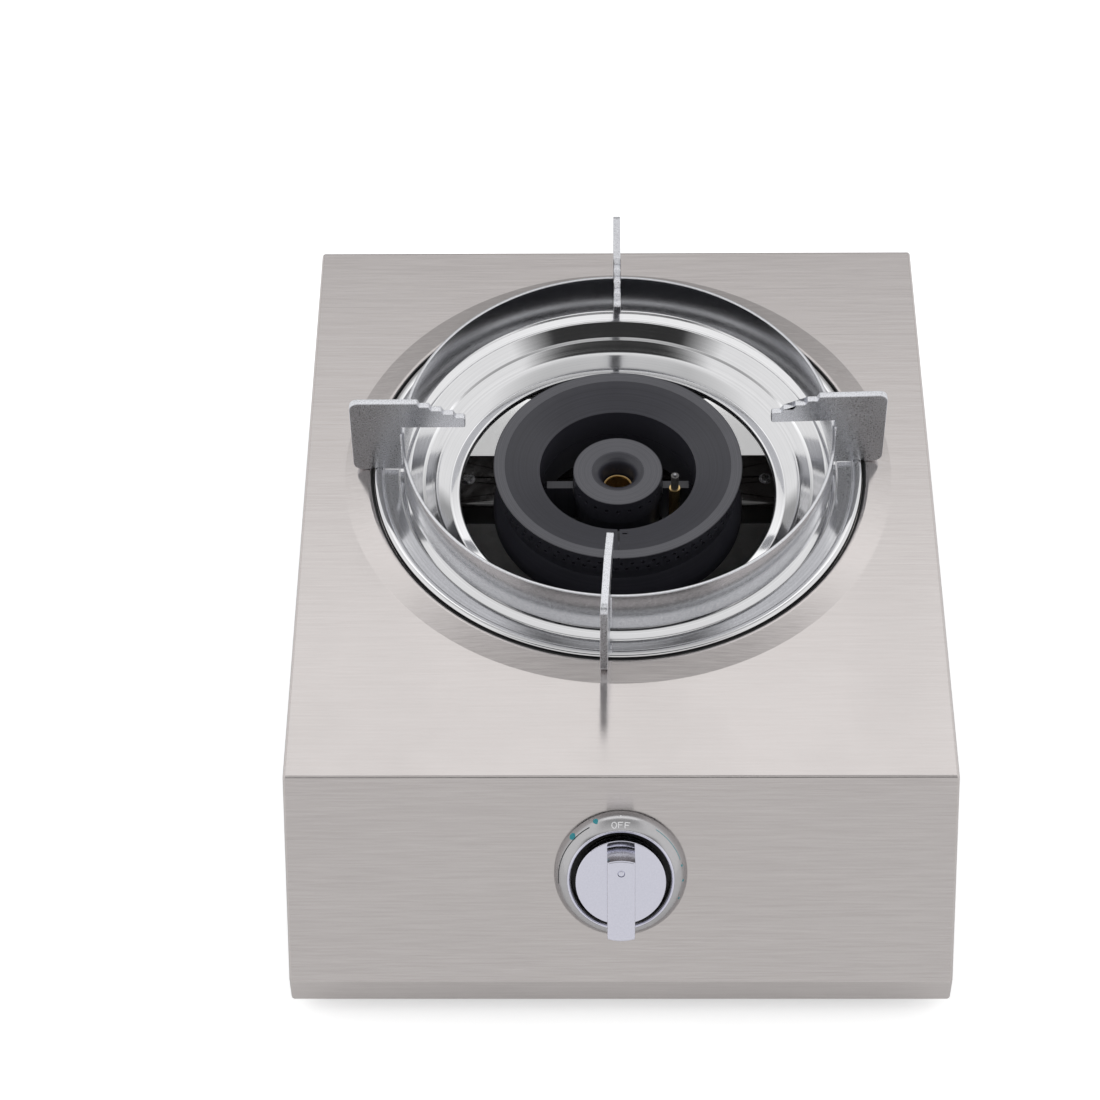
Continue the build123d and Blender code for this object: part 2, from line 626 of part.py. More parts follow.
def inner_flame_cap():
    """Small cap with a rounded mouth in its middle and one row of flame ports."""
    top = -INNER_CAP_DROP
    seat = -INNER_CAP_SEAT_DROP
    wall = INNER_CAP_RADIUS - INNER_CAP_WALL
    neck = INNER_CAP_HOLE + BOSS_WALL
    roof = top - INNER_CAP_WALL
    neck_end = seat + SLIDE_GAP
    cap = turned_points(
        (INNER_CAP_HOLE, top),
        (INNER_CAP_RADIUS, top),
        (INNER_CAP_RADIUS, seat),
        (wall, seat),
        (wall, roof),
        (neck + INNER_CAP_WALL, roof),
        (neck, roof - INNER_CAP_WALL),
        (neck, neck_end),
        (INNER_CAP_HOLE, neck_end),
    )
    mouth = min(cap.edges().group_by(Axis.Z)[-1], key=lambda edge: edge.length)
    cap = fillet(mouth, INNER_CAP_ROUND)
    drop = INNER_CAP_DROP + INNER_CAP_PORT_DROP
    return cap - radial_ports(INNER_CAP_PORTS, CAP_PORT_RADIUS, INNER_CAP_RADIUS, drop)


BURNER_FOOT_SETBACK = BRIDGE_SETBACK - BURNER_FOOT_FORWARD
BURNER_FEET = [at_burner(side * BURNER_FOOT_X, BURNER_FOOT_SETBACK, 0) for side in (-1, 1)]
ELECTRODE_CLIP_X = TROUGH_MIDDLE - ELECTRODE_CLIP_IN
ELECTRODE_SCREW = [facing(ELECTRODE_CLIP_X, BURNER_Y + ELECTRODE_Y, BURNER_UNDER - LEG_SHEET, (0, 0, -1))]


def burner_body():
    """Casting: a ring trough and a middle cup joined by two ribs, on two feet."""
    under = BURNER_UNDER - TOP_Z
    floor = -BURNER_FLOOR_DROP
    seat = -CAP_SEAT_DROP
    inner_wall = CAP_HOLE + CAP_INNER_WALL
    inner_top = seat - CAP_SPIGOT - SLIDE_GAP
    trough = turned_points(
        (CAP_HOLE, inner_top),
        (inner_wall, inner_top),
        (inner_wall, floor),
        (CAP_FOOT_RADIUS - CAP_WALL, floor),
        (CAP_FOOT_RADIUS - CAP_WALL, seat),
        (CAP_FOOT_RADIUS, seat),
        (BURNER_BASE_RADIUS, floor + BURNER_FLOOR),
        (BURNER_BASE_RADIUS, floor),
        (CAP_FOOT_RADIUS, under),
        (CAP_HOLE, under),
    )
    cup_radius = INNER_CAP_RADIUS - SHEET
    cup_inside = cup_radius - CUP_WALL
    boss = AIR_TUBE_RADIUS + BOSS_WALL
    boss_top = -INNER_CAP_SEAT_DROP - CUP_WALL
    cup = turned_points(
        (cup_inside, -INNER_CAP_SEAT_DROP),
        (cup_radius, -INNER_CAP_SEAT_DROP),
        (cup_radius, under),
        (AIR_TUBE_RADIUS, under),
        (AIR_TUBE_RADIUS, boss_top),
        (boss, boss_top),
        (boss, floor),
        (cup_inside, floor),
    )
    rib_root = cup_radius - CUP_WALL / 2
    rib_outline = [
        (rib_root, under),
        (CAP_HOLE + CAP_INNER_WALL / 2, under),
        (CAP_HOLE + CAP_INNER_WALL / 2, inner_top),
        (CAP_HOLE - SLIDE_GAP, inner_top),
        (CAP_HOLE - CAP_INNER_WALL, -RIB_DROP),
        (INNER_CAP_RADIUS + SLIDE_GAP, -RIB_DROP),
        (INNER_CAP_RADIUS + SLIDE_GAP, -INNER_CAP_SEAT_DROP - SLIDE_GAP),
        (rib_root, -INNER_CAP_SEAT_DROP - SLIDE_GAP),
    ]
    rib = extrude(Plane.XZ * make_face(Polyline(*rib_outline, close=True)), RIB_WIDTH / 2, both=True)
    ribs = [at_burner(0, 0, 0) * Rot(0, 0, turn) * rib for turn in (0, 180)]
    foot_length = BURNER_UNDER - BRIDGE_Z + BURNER_FLOOR / 2
    post = Pos(0, 0, BRIDGE_Z - TOP_Z + foot_length / 2) * Cylinder(BURNER_FOOT_RADIUS, foot_length)
    casting = trough + cup + ribs + [place * post for place in BURNER_FEET]
    drills = [
        Pos(OUTER_TUBE_X, OUTER_RISER_Y, BURNER_UNDER) * Cylinder(OUTER_RISER_BORE, 3 * BURNER_FLOOR),
        Pos(INNER_TUBE_X, BURNER_Y, BURNER_UNDER) * Cylinder(INNER_RISER_BORE, 3 * BURNER_FLOOR),
        ELECTRODE_SCREW[0] * down_hole(SCREW_RADIUS, CLIP_SCREW_LENGTH - SHEET / 2),
    ]
    pilot = SCREW_LENGTH - BRIDGE_SHEET
    drills += [
        place * Pos(0, 0, pilot / 2 - BRIDGE_DROP) * Cylinder(SCREW_RADIUS, pilot) for place in BURNER_FEET
    ]
    return casting - drills


def centre_air_tube():
    """Brass tube up the middle of the inner burner."""
    inside = AIR_TUBE_RADIUS - AIR_TUBE_WALL
    top, low = -AIR_TUBE_DROP, BURNER_UNDER - TOP_Z
    return turned_points((inside, low), (AIR_TUBE_RADIUS, low), (AIR_TUBE_RADIUS, top), (inside, top))


def along_y(section, x):
    """Solid of revolution about a tube's axis from an (r, y) section."""
    return Pos(x, 0, TUBE_Z) * revolve(Plane.XY * section, Axis.Y)


def window_cut(mouth, x, start_y, end_y):
    """Two sector-shaped air windows through a disc at a tube's mouth."""
    low, high = NOSE_RADIUS + 2 * SHUTTER_THICKNESS, mouth - TUBE_WALL
    section = make_face(Polyline((low, start_y), (high, start_y), (high, end_y), (low, end_y), close=True))
    sector = revolve(Plane.XY * section, Axis.Y, revolution_arc=SHUTTER_WINDOW)
    return [Pos(x, 0, TUBE_Z) * Rot(0, turn, 0) * sector for turn in (0, 180)]


def mixing_tube(x, mouth, throat, riser, bore, riser_y):
    """Venturi tube that takes gas and air from an injector up into the burner."""
    mouth_end = MOUTH_Y + MOUTH_LENGTH
    throat_y = mouth_end + THROAT_LENGTH
    end = riser_y + riser + TUBE_WALL
    tail = riser + TUBE_WALL

    def shell(inset, front, back):
        return make_face(
            Polyline(
                (0, front),
                (mouth - inset, front),
                (mouth - inset, mouth_end),
                (throat - inset, throat_y),
                (tail - inset, riser_y - tail),
                (tail - inset, back),
                (0, back),
                close=True,
            )
        )

    rise = BURNER_UNDER - TUBE_Z
    stack = Pos(x, riser_y, TUBE_Z + rise / 2)
    outside = along_y(shell(0, MOUTH_Y, end), x) + stack * Cylinder(riser, rise)
    inside = along_y(shell(TUBE_WALL, MOUTH_Y + TUBE_END_PLATE, end - TUBE_WALL), x)
    inside += stack * Cylinder(bore, rise)
    nose_hole = along_y(
        make_face(
            Polyline(
                (0, MOUTH_Y - SHUTTER_GAP),
                (NOSE_RADIUS + SHUTTER_THICKNESS, MOUTH_Y - SHUTTER_GAP),
                (NOSE_RADIUS + SHUTTER_THICKNESS, MOUTH_Y + 2 * TUBE_END_PLATE),
                (0, MOUTH_Y + 2 * TUBE_END_PLATE),
                close=True,
            )
        ),
        x,
    )
    windows = window_cut(mouth, x, MOUTH_Y - SHUTTER_GAP, MOUTH_Y + 2 * TUBE_END_PLATE)
    return outside - inside - nose_hole - windows


def air_shutter(x, mouth):
    """Disc with two windows that turns on the injector's nose in front of a tube's mouth."""
    front = HEX_FACE_Y + SHUTTER_GAP
    back = front + SHUTTER_THICKNESS
    hole = NOSE_RADIUS + NOSE_CLEARANCE
    outline = Polyline((hole, front), (mouth, front), (mouth, back), (hole, back), close=True)
    disc = along_y(make_face(outline), x)
    lever = block(
        (x - 2 * SHUTTER_THICKNESS, front, TUBE_Z - mouth - SHUTTER_LEVER),
        (x + 2 * SHUTTER_THICKNESS, back, TUBE_Z - mouth + SHUTTER_THICKNESS),
    )
    return disc + lever - window_cut(mouth, x, front - SHUTTER_GAP, back + SHUTTER_GAP)


def injector(x):
    """Brass jet: thread in the valve, hexagon, and a nose with a fine bore."""
    seat_y = FRONT_Y + BLOCK_REAR
    points_back = Rot(-90, 0, 0)
    length = INJECTOR_HEX_LENGTH + NOSE_LENGTH
    jet = hexagon(INJECTOR_HEX, INJECTOR_HEX_LENGTH)
    jet += Pos(0, 0, length / 2) * Cylinder(NOSE_RADIUS, length)
    jet += Pos(0, 0, -INJECTOR_THREAD / 2) * Cylinder(INJECTOR_THREAD_RADIUS, INJECTOR_THREAD)
    jet = chamfer(jet.edges().sort_by(Axis.Z)[-1:], NOSE_RADIUS / 3)
    jet -= Pos(0, 0, -SHUTTER_THICKNESS) * Cylinder(NOSE_RADIUS / 3, 2 * length - 2 * NOSE_RADIUS)
    jet -= Cylinder(SHUTTER_THICKNESS / 3, 4 * length)
    return Pos(x, seat_y, TUBE_Z) * points_back * jet


BRIDGE_Y = BURNER_Y + BRIDGE_SETBACK
BRIDGE_TOP_SCREWS = [facing(side * BRIDGE_SCREW_X, BRIDGE_Y, BRIDGE_Z, (0, 0, 1)) for side in (-1, 1)]
LEG_WEB_X = BRIDGE_SCREW_X + LEG_FLANGE / 2
LEG_FOOT_SCREWS = [
    facing(side * (LEG_WEB_X + LEG_FLANGE / 2), BRIDGE_Y, TRAY_TOP + LEG_SHEET, (0, 0, 1))
    for side in (-1, 1)
]
BURNER_SCREWS = [
    facing(side * BURNER_FOOT_X, BURNER_Y + BURNER_FOOT_SETBACK, BRIDGE_Z - BRIDGE_SHEET, (0, 0, -1))
    for side in (-1, 1)
]
TUBE_BRACKET_Y = FRONT_Y + TUBE_BRACKET_SETBACK
TUBE_BRACKET_LEFT = INNER_TUBE_X - INNER_MOUTH_RADIUS - 4 * LEG_SHEET
TUBE_BRACKET_RIGHT = OUTER_TUBE_X + OUTER_MOUTH_RADIUS + 4 * LEG_SHEET
TUBE_BRACKET_SCREWS = [
    facing(x, TUBE_BRACKET_Y + LEG_FLANGE / 2, TRAY_TOP + LEG_SHEET, (0, 0, 1))
    for x in (INNER_TUBE_X, OUTER_TUBE_X)
]


def burner_bridge():
    """Channel that carries the burner across the cabinet."""
    half_length, half_width = BRIDGE_LENGTH / 2, BRIDGE_WIDTH / 2
    channel = block(
        (-half_length, BRIDGE_Y - half_width, BRIDGE_Z - BRIDGE_FLANGE),
        (half_length, BRIDGE_Y + half_width, BRIDGE_Z),
    )
    channel = fillet(channel.edges().filter_by(Axis.X).sort_by(Axis.Z)[-2:], 2 * BRIDGE_SHEET)
    room = block(
        (-BRIDGE_LENGTH, BRIDGE_Y - half_width + BRIDGE_SHEET, BRIDGE_Z - 2 * BRIDGE_FLANGE),
        (BRIDGE_LENGTH, BRIDGE_Y + half_width - BRIDGE_SHEET, BRIDGE_Z - BRIDGE_SHEET),
    )
    room = fillet(room.edges().filter_by(Axis.X).sort_by(Axis.Z)[-2:], BRIDGE_SHEET)
    drills = [place * down_hole(SCREW_RADIUS, SCREW_LENGTH) for place in BRIDGE_TOP_SCREWS + BURNER_SCREWS]
    return channel - room - drills


def bridge_leg(side):
    """Z-shaped leg between the bridge and the tray."""
    low_y, high_y = BRIDGE_Y - LEG_WIDTH / 2, BRIDGE_Y + LEG_WIDTH / 2
    top = BRIDGE_Z - BRIDGE_SHEET
    leg = block((LEG_WEB_X - LEG_FLANGE, low_y, top - LEG_SHEET), (LEG_WEB_X, high_y, top))
    leg += block((LEG_WEB_X - LEG_SHEET, low_y, TRAY_TOP), (LEG_WEB_X, high_y, top))
    web = LEG_WEB_X - LEG_SHEET
    leg += block((web, low_y, TRAY_TOP), (LEG_WEB_X + LEG_FLANGE, high_y, TRAY_TOP + LEG_SHEET))
    screws = BRIDGE_TOP_SCREWS[1:] + LEG_FOOT_SCREWS[1:]
    leg -= [place * down_hole(SCREW_RADIUS, SCREW_LENGTH) for place in screws]
    return leg if side > 0 else mirror(leg, Plane.YZ)


def tube_bracket():
    """Upright plate that holds both mixing tubes at their mouths."""
    bracket = block(
        (TUBE_BRACKET_LEFT, TUBE_BRACKET_Y, TRAY_TOP),
        (TUBE_BRACKET_RIGHT, TUBE_BRACKET_Y + LEG_SHEET, TUBE_Z + OUTER_MOUTH_RADIUS + 4 * LEG_SHEET),
    )
    bracket += block(
        (TUBE_BRACKET_LEFT, TUBE_BRACKET_Y, TRAY_TOP),
        (TUBE_BRACKET_RIGHT, TUBE_BRACKET_Y + LEG_FLANGE, TRAY_TOP + LEG_SHEET),
    )
    for x, mouth in ((OUTER_TUBE_X, OUTER_MOUTH_RADIUS), (INNER_TUBE_X, INNER_MOUTH_RADIUS)):
        bracket -= Pos(x, TUBE_BRACKET_Y, TUBE_Z) * Rot(90, 0, 0) * Cylinder(mouth, 4 * LEG_SHEET)
    return bracket - [place * down_hole(SCREW_RADIUS, SCREW_LENGTH) for place in TUBE_BRACKET_SCREWS]


SLEEVE_LOW = SLEEVE_DROP + SLEEVE_LENGTH
LEAD_END_DROP = SLEEVE_LOW + LEAD_COVER


def rod(radius, top, low, bore=0.0):
    """Upright round piece at the electrode's place, between two drops below the top panel."""
    piece = Cylinder(radius, low - top)
    if bore:
        piece -= Cylinder(bore, low - top)
    return at_burner(ELECTRODE_X, ELECTRODE_Y, (top + low) / 2) * piece


def spark_electrode():
    """Wire with a rounded point."""
    wire = rod(ELECTRODE_RADIUS, -ELECTRODE_TIP, LEAD_END_DROP)
    return fillet(wire.edges().sort_by(Axis.Z)[-1:], ELECTRODE_RADIUS * 0.8)


def electrode_insulator():
    """Ceramic tube round the wire."""
    return rod(INSULATOR_RADIUS, -INSULATOR_TOP, SLEEVE_LOW, ELECTRODE_RADIUS)


def electrode_sleeve():
    """Brass sleeve that the insulator stands in."""
    return rod(SLEEVE_RADIUS, SLEEVE_DROP, SLEEVE_LOW, INSULATOR_RADIUS)


def electrode_clip():
    """Flat strip under the burner that holds the sleeve."""
    half = SLEEVE_RADIUS + 2 * LEG_SHEET
    y = BURNER_Y + ELECTRODE_Y
    strip = block(
        (ELECTRODE_X - half, y - half, BURNER_UNDER - LEG_SHEET),
        (ELECTRODE_CLIP_X + half, y + half, BURNER_UNDER),
    )
    strip = fillet(strip.edges().filter_by(Axis.Z), half / 2)
    strip -= rod(SLEEVE_RADIUS, SLEEVE_DROP, SLEEVE_LOW)
    return strip - [place * down_hole(SCREW_RADIUS, SCREW_LENGTH) for place in ELECTRODE_SCREW]


PIEZO_Y = FRONT_Y - PIEZO_FORWARD
PIEZO_X = BLOCK_LEFT - PIEZO_SIZE[0] / 2
LEAD_START = Vector(PIEZO_X, PIEZO_Y + PIEZO_SIZE[1] + PIEZO_STUD, TUBE_Z)
LEAD_END = Vector(ELECTRODE_X, BURNER_Y + ELECTRODE_Y, TOP_Z - LEAD_END_DROP)
LEAD_LAST_BEND = Vector(LEAD_END.X, LEAD_END.Y, TUBE_Z - LEAD_RISE)
LEAD_ROUTE = [
    LEAD_START,
    *[LEAD_START + Vector(*bend) for bend in LEAD_FROM_IGNITER],
    *[LEAD_LAST_BEND + Vector(*bend) for bend in LEAD_TO_ELECTRODE],
    LEAD_END,
]


def lead_radii(route):
    """Bend radius at each inner point of a route, as large as its runs allow."""
    radii = []
    for a, b, c in zip(route, route[1:], route[2:]):
        shorter = min((b - a).length, (c - b).length)
        turn = radians((b - a).get_angle(c - b))
        radii.append(LEAD_BEND_SHARE * shorter / tan(turn / 2))
    return radii


def ignition_lead():
    """Silicone lead from the igniter to the electrode's wire."""
    radii = lead_radii(LEAD_ROUTE)
    path = FilletPolyline(*LEAD_ROUTE, radius=radii)
    return sweep(Plane(path ^ 0) * Circle(LEAD_RADIUS), path=path)


def on_panel(top, low, radius, bore=0.0):
    """Round piece on the knob's axis between two heights above the sloped panel."""
    piece = Pos(0, 0, (top + low) / 2) * Cylinder(radius, top - low)
    if bore:
        piece -= Pos(0, 0, (top + low) / 2) * Cylinder(bore, top - low)
    return piece


def flat_bar(radius, top, low, flat):
    """Round bar on the knob's axis with one flat on its upper side."""
    bar = on_panel(top, low, radius)
    return bar - Pos(0, flat + radius, (top + low) / 2) * Box(2 * radius, 2 * radius, top - low)


def knob():
    """Round knob with an upright bar grip and a hub for the stem."""
    disc = on_panel(KNOB_FACE, KNOB_BACK, KNOB_RADIUS)
    disc = fillet(disc.edges().sort_by(Axis.Z)[-1:], KNOB_EDGE / 2)
    bar_low = KNOB_FACE - KNOB_EDGE
    middle = (bar_low + KNOB_HEIGHT) / 2
    bar = Pos(0, 0, middle) * Box(KNOB_BAR_WIDTH, 4 * KNOB_RADIUS, KNOB_HEIGHT - bar_low)
    bar &= on_panel(KNOB_HEIGHT, bar_low, KNOB_RADIUS)
    bar &= Pos(0, KNOB_BAR_TOP - KNOB_RADIUS, 0) * on_panel(KNOB_HEIGHT, bar_low, KNOB_RADIUS)
    face_edges = [e for e in bar.edges() if e.center().Z > KNOB_HEIGHT - SEAT_GAP]
    bar = fillet(sorted(face_edges, key=lambda e: e.center().Y)[:1], KNOB_GRIP_ROUND)
    face_end = -KNOB_RADIUS + 1.1 * KNOB_GRIP_ROUND
    face_edges = [e for e in bar.edges() if e.center().Z > KNOB_HEIGHT - SEAT_GAP]
    bar = fillet([e for e in face_edges if e.center().Y > face_end], KNOB_EDGE)
    hub_low = KNOB_BACK - KNOB_HUB_DEPTH
    body = disc + bar + on_panel(KNOB_FACE, hub_low, KNOB_HUB)
    body -= on_panel(KNOB_FACE - KNOB_WALL, hub_low, KNOB_RADIUS - KNOB_WALL, KNOB_HUB)
    body -= flat_bar(STEM_RADIUS, STEM_OUT, hub_low, STEM_FLAT)
    body -= Pos(0, KNOB_MARK, KNOB_HEIGHT) * Cylinder(KNOB_MARK_RADIUS, 2 * KNOB_MARK_RADIUS)
    return PANEL * body


def knob_marker():
    """Domed pin let into the grip's upper end."""
    pin = Pos(0, 0, -KNOB_MARK_RADIUS / 2) * Cylinder(KNOB_MARK_RADIUS, KNOB_MARK_RADIUS)
    pin = fillet(pin.edges().sort_by(Axis.Z)[-1:], KNOB_MARK_RADIUS / 2)
    return PANEL * Pos(0, KNOB_MARK, KNOB_HEIGHT) * pin


def knob_clip():
    """Steel ring that squeezes the knob's hub on the stem."""
    low = KNOB_BACK - KNOB_HUB_DEPTH + SEAT_GAP
    return PANEL * on_panel(low + KNOB_WALL, low, KNOB_HUB + BEZEL_WALL / 2, KNOB_HUB)


def bezel():
    """Domed dial ring round the knob, hollow underneath, with two pegs."""
    lip = BEZEL_LIP
    inside = lip - BEZEL_WALL
    rim = BEZEL_WALL
    slope = Vector(BEZEL_HEIGHT - rim, BEZEL_RADIUS - lip).normalized()
    bulge = Vector(BEZEL_RADIUS + lip, rim + BEZEL_HEIGHT) / 2 + slope * BEZEL_BULGE
    skirt = make_face(
        [
            Line((BEZEL_RADIUS, 0), (BEZEL_RADIUS, rim)).edge(),
            ThreePointArc(
                (BEZEL_RADIUS, rim),
                (bulge.X, bulge.Y),
                (lip, BEZEL_HEIGHT),
            ).edge(),
            Line((lip, BEZEL_HEIGHT), (inside, BEZEL_HEIGHT - rim / 2)).edge(),
            Line((inside, BEZEL_HEIGHT - rim / 2), (inside, 0)).edge(),
            Line((inside, 0), (lip, 0)).edge(),
            Line((lip, 0), (lip, BEZEL_HEIGHT - BEZEL_ROOF)).edge(),
            Line((lip, BEZEL_HEIGHT - BEZEL_ROOF), (BEZEL_RADIUS - BEZEL_WALL, rim / 2)).edge(),
            Line((BEZEL_RADIUS - BEZEL_WALL, rim / 2), (BEZEL_RADIUS - BEZEL_WALL, 0)).edge(),
            Line((BEZEL_RADIUS - BEZEL_WALL, 0), (BEZEL_RADIUS, 0)).edge(),
        ]
    )
    ring = revolve(Plane.XZ * skirt, Axis.Z)
    peg_top = BEZEL_HEIGHT - 3 * BEZEL_WALL
    peg_low = -3.5 * SHEET
    peg = Pos(0, 0, (peg_top + peg_low) / 2) * Cylinder(BEZEL_PEG_RADIUS, peg_top - peg_low)
    return PANEL * (ring + [Pos(0, side * BEZEL_PEG, 0) * peg for side in (-1, 1)])


def bezel_nuts():
    """Push-on nuts that hold the bezel's pegs behind the panel."""
    one = on_panel(-SHEET, -2 * SHEET, 2.2 * BEZEL_PEG_RADIUS, BEZEL_PEG_RADIUS)
    return Compound([place * one for place in BEZEL_PEGS])


COVER_LOW = -SHEET - COVER_THICKNESS
COLLAR_FRONT = COVER_LOW - SLIDE_GAP
COLLAR_BACK = COLLAR_FRONT - STEM_COLLAR_THICKNESS
PLUG_BACK = -PLUG_FRONT - PLUG_LENGTH


def valve_stem():
    """Sliding stem with a collar, flatted where it enters the knob and the plug."""
    flat_end = KNOB_BACK - KNOB_HUB_DEPTH
    stem = flat_bar(STEM_RADIUS, STEM_OUT, flat_end, STEM_FLAT)
    round_end = -PLUG_FRONT + KNOB_TRAVEL + SLIDE_GAP
    stem += on_panel(flat_end, round_end, STEM_RADIUS)
    stem += flat_bar(STEM_RADIUS, round_end, -STEM_IN, STEM_FLAT)
    stem += on_panel(COLLAR_FRONT, COLLAR_BACK, STEM_COLLAR)
    return PANEL * stem


def valve_plug():
    """Turning plug with gas ways and a flatted socket for the stem."""
    plug = on_panel(-PLUG_FRONT, PLUG_BACK, PLUG_RADIUS)
    socket_end = -STEM_IN - KNOB_TRAVEL - SLIDE_GAP
    plug -= flat_bar(STEM_RADIUS + RUN_CLEARANCE, -PLUG_FRONT, socket_end, STEM_FLAT + RUN_CLEARANCE)
    way_radius = STEM_RADIUS / 2
    plug -= on_panel(PLUG_BACK + way_radius * 2, PLUG_BACK, way_radius)
    way = Pos(PLUG_RADIUS / 2, 0, PLUG_BACK + way_radius * 1.4) * Rot(0, 90, 0)
    plug -= way * Cylinder(way_radius * 0.6, PLUG_RADIUS)
    return PANEL * plug


def stem_spring():
    """Coil spring between the stem's collar and the plug."""
    top, low = COLLAR_BACK - SPRING_WIRE, -PLUG_FRONT + SPRING_WIRE
    coil = Helix((top - low) / SPRING_TURNS, top - low, SPRING_RADIUS)
    wire = sweep(Plane(coil ^ 0) * Circle(SPRING_WIRE * 0.9), path=coil)
    return PANEL * Pos(0, 0, low) * wire


def valve_body():
    """Die-cast valve: flange, stem chamber, plug bore and a block for the jets and the inlet."""
    flange_x, flange_y, flange_z = VALVE_FLANGE
    flange = Pos(0, 0, -SHEET - flange_z / 2) * Box(flange_x, flange_y, flange_z)
    flange = fillet(flange.edges().filter_by(Axis.Z), flange_y / 5)
    barrel = on_panel(-SHEET, -VALVE_LENGTH, VALVE_RADIUS)
    body = PANEL * (flange + barrel)
    half = BLOCK_HEIGHT / 2
    manifold = block(
        (BLOCK_LEFT, FRONT_Y + BLOCK_FRONT, TUBE_Z - half),
        (BLOCK_RIGHT, FRONT_Y + BLOCK_REAR, TUBE_Z + half),
    )
    manifold = fillet(manifold.edges().filter_by(Axis.X), half / 6)
    body += manifold
    bores = on_panel(-SHEET, COVER_LOW, COVER_RADIUS)
    bores += on_panel(COVER_LOW, -PLUG_FRONT + SLIDE_GAP, CHAMBER_RADIUS)
    bores += on_panel(-PLUG_FRONT + SLIDE_GAP, PLUG_BACK - SLIDE_GAP, PLUG_RADIUS + RUN_CLEARANCE)
    bores += on_panel(PLUG_BACK, -VALVE_LENGTH - STEM_RADIUS / 2, STEM_RADIUS / 2)
    body -= PANEL * bores
    gallery_y = FRONT_Y + BLOCK_REAR - INJECTOR_THREAD - STEM_RADIUS
    gallery = STEM_RADIUS / 2
    across = OUTER_TUBE_X - INNER_TUBE_X
    middle_x = (OUTER_TUBE_X + INNER_TUBE_X) / 2
    ways = [Pos(middle_x, gallery_y, TUBE_Z) * Rot(0, 90, 0) * Cylinder(gallery, across)]
    for x in (OUTER_TUBE_X, INNER_TUBE_X):
        socket_y = FRONT_Y + BLOCK_REAR - INJECTOR_THREAD / 2
        socket = Pos(x, socket_y, TUBE_Z) * Rot(90, 0, 0)
        ways.append(socket * Cylinder(INJECTOR_THREAD_RADIUS, INJECTOR_THREAD))
        ways.append(socket * Pos(0, 0, STEM_RADIUS) * Cylinder(gallery, 2 * STEM_RADIUS))
    inlet_length = BLOCK_RIGHT - PLUG_RADIUS / 2
    ways.append(
        Pos(BLOCK_RIGHT - inlet_length / 2, FRONT_Y + PIPE_SETBACK, TUBE_Z)
        * Rot(0, 90, 0)
        * Cylinder(PIPE_RADIUS - PIPE_WALL, inlet_length)
    )
    body -= ways
    return body - [place * down_hole(SCREW_RADIUS, SCREW_LENGTH) for place in VALVE_SCREWS]


def valve_cover():
    """Washer-shaped cover that guides the stem and keeps it in the valve."""
    return PANEL * on_panel(-SHEET, COVER_LOW, COVER_RADIUS, STEM_RADIUS + RUN_CLEARANCE)


def piezo_igniter():
    """Spark generator on the valve's left side, with a terminal at its back."""
    width, depth, height = PIEZO_SIZE
    case = Pos(PIEZO_X, PIEZO_Y + depth / 2, TUBE_Z) * Box(width, depth, height)
    case = fillet(case.edges().filter_by(Axis.Y), width / 7)
    stud = Pos(PIEZO_X, PIEZO_Y + depth + PIEZO_STUD / 2, TUBE_Z) * Rot(90, 0, 0)
    return case + stud * Cylinder(2 * LEAD_RADIUS, PIEZO_STUD)


PIPE_Y = FRONT_Y + PIPE_SETBACK
PIPE_END_Y = REAR_Y - NIPPLE_INSIDE


def inlet_pipe():
    """Aluminium pipe from the back of the cabinet to the valve."""
    route = [(BLOCK_RIGHT, PIPE_Y, TUBE_Z), (PIPE_X, PIPE_Y, TUBE_Z), (PIPE_X, PIPE_END_Y, TUBE_Z)]
    path = FilletPolyline(*route, radius=PIPE_BEND)
    start = Plane(path ^ 0)
    return sweep(start * (Circle(PIPE_RADIUS) - Circle(PIPE_RADIUS - PIPE_WALL)), path=path)


def valve_pipe_nut():
    """Union nut at the valve's end of the pipe."""
    nut = hexagon(NUT_HEX, NUT_LENGTH) - Cylinder(PIPE_RADIUS, 3 * NUT_LENGTH)
    return Pos(BLOCK_RIGHT, PIPE_Y, TUBE_Z) * Rot(0, 90, 0) * nut


def on_inlet(y):
    """Place on the inlet's axis, with z along +Y."""
    return Pos(PIPE_X, y, TUBE_Z) * Rot(-90, 0, 0)


def rear_pipe_nut():
    """Union nut over the joint of the pipe and the hose nipple."""
    nut = hexagon(NUT_HEX, NUT_LENGTH) - Cylinder(PIPE_RADIUS, 3 * NUT_LENGTH)
    return on_inlet(PIPE_END_Y - NUT_LENGTH / 2) * nut


def hose_nipple():
    """Brass nipple through the back, with a grooved stub for a gas hose."""
    wall_in = NIPPLE_INSIDE - 2 * SHEET
    tail = wall_in - NIPPLE_SHOULDER
    thread_end = NIPPLE_INSIDE - SHEET + LOCKNUT_LENGTH
    end = NIPPLE_INSIDE + NIPPLE_REACH
    body = Pos(0, 0, tail / 2) * Cylinder(PIPE_RADIUS, tail)
    body += Pos(0, 0, tail) * hexagon(NUT_HEX, NIPPLE_SHOULDER)
    body += Pos(0, 0, (tail + thread_end) / 2) * Cylinder(NIPPLE_THREAD, thread_end - tail)
    stub = Pos(0, 0, (tail + end) / 2) * Cylinder(NIPPLE_RADIUS, end - tail)
    stub = chamfer(stub.edges().sort_by(Axis.Z)[-1:], NIPPLE_GROOVE)
    body += stub
    pitch = (end - thread_end) / 4
    for index in (1, 2):
        ring = Cylinder(NIPPLE_THREAD, 2 * NIPPLE_GROOVE)
        ring -= Cylinder(NIPPLE_RADIUS - NIPPLE_GROOVE, 2 * NIPPLE_GROOVE)
        body -= Pos(0, 0, thread_end + index * pitch + pitch / 2) * ring
    body -= Pos(0, 0, end / 2) * Cylinder(NIPPLE_BORE, 2 * end)
    return on_inlet(PIPE_END_Y) * body


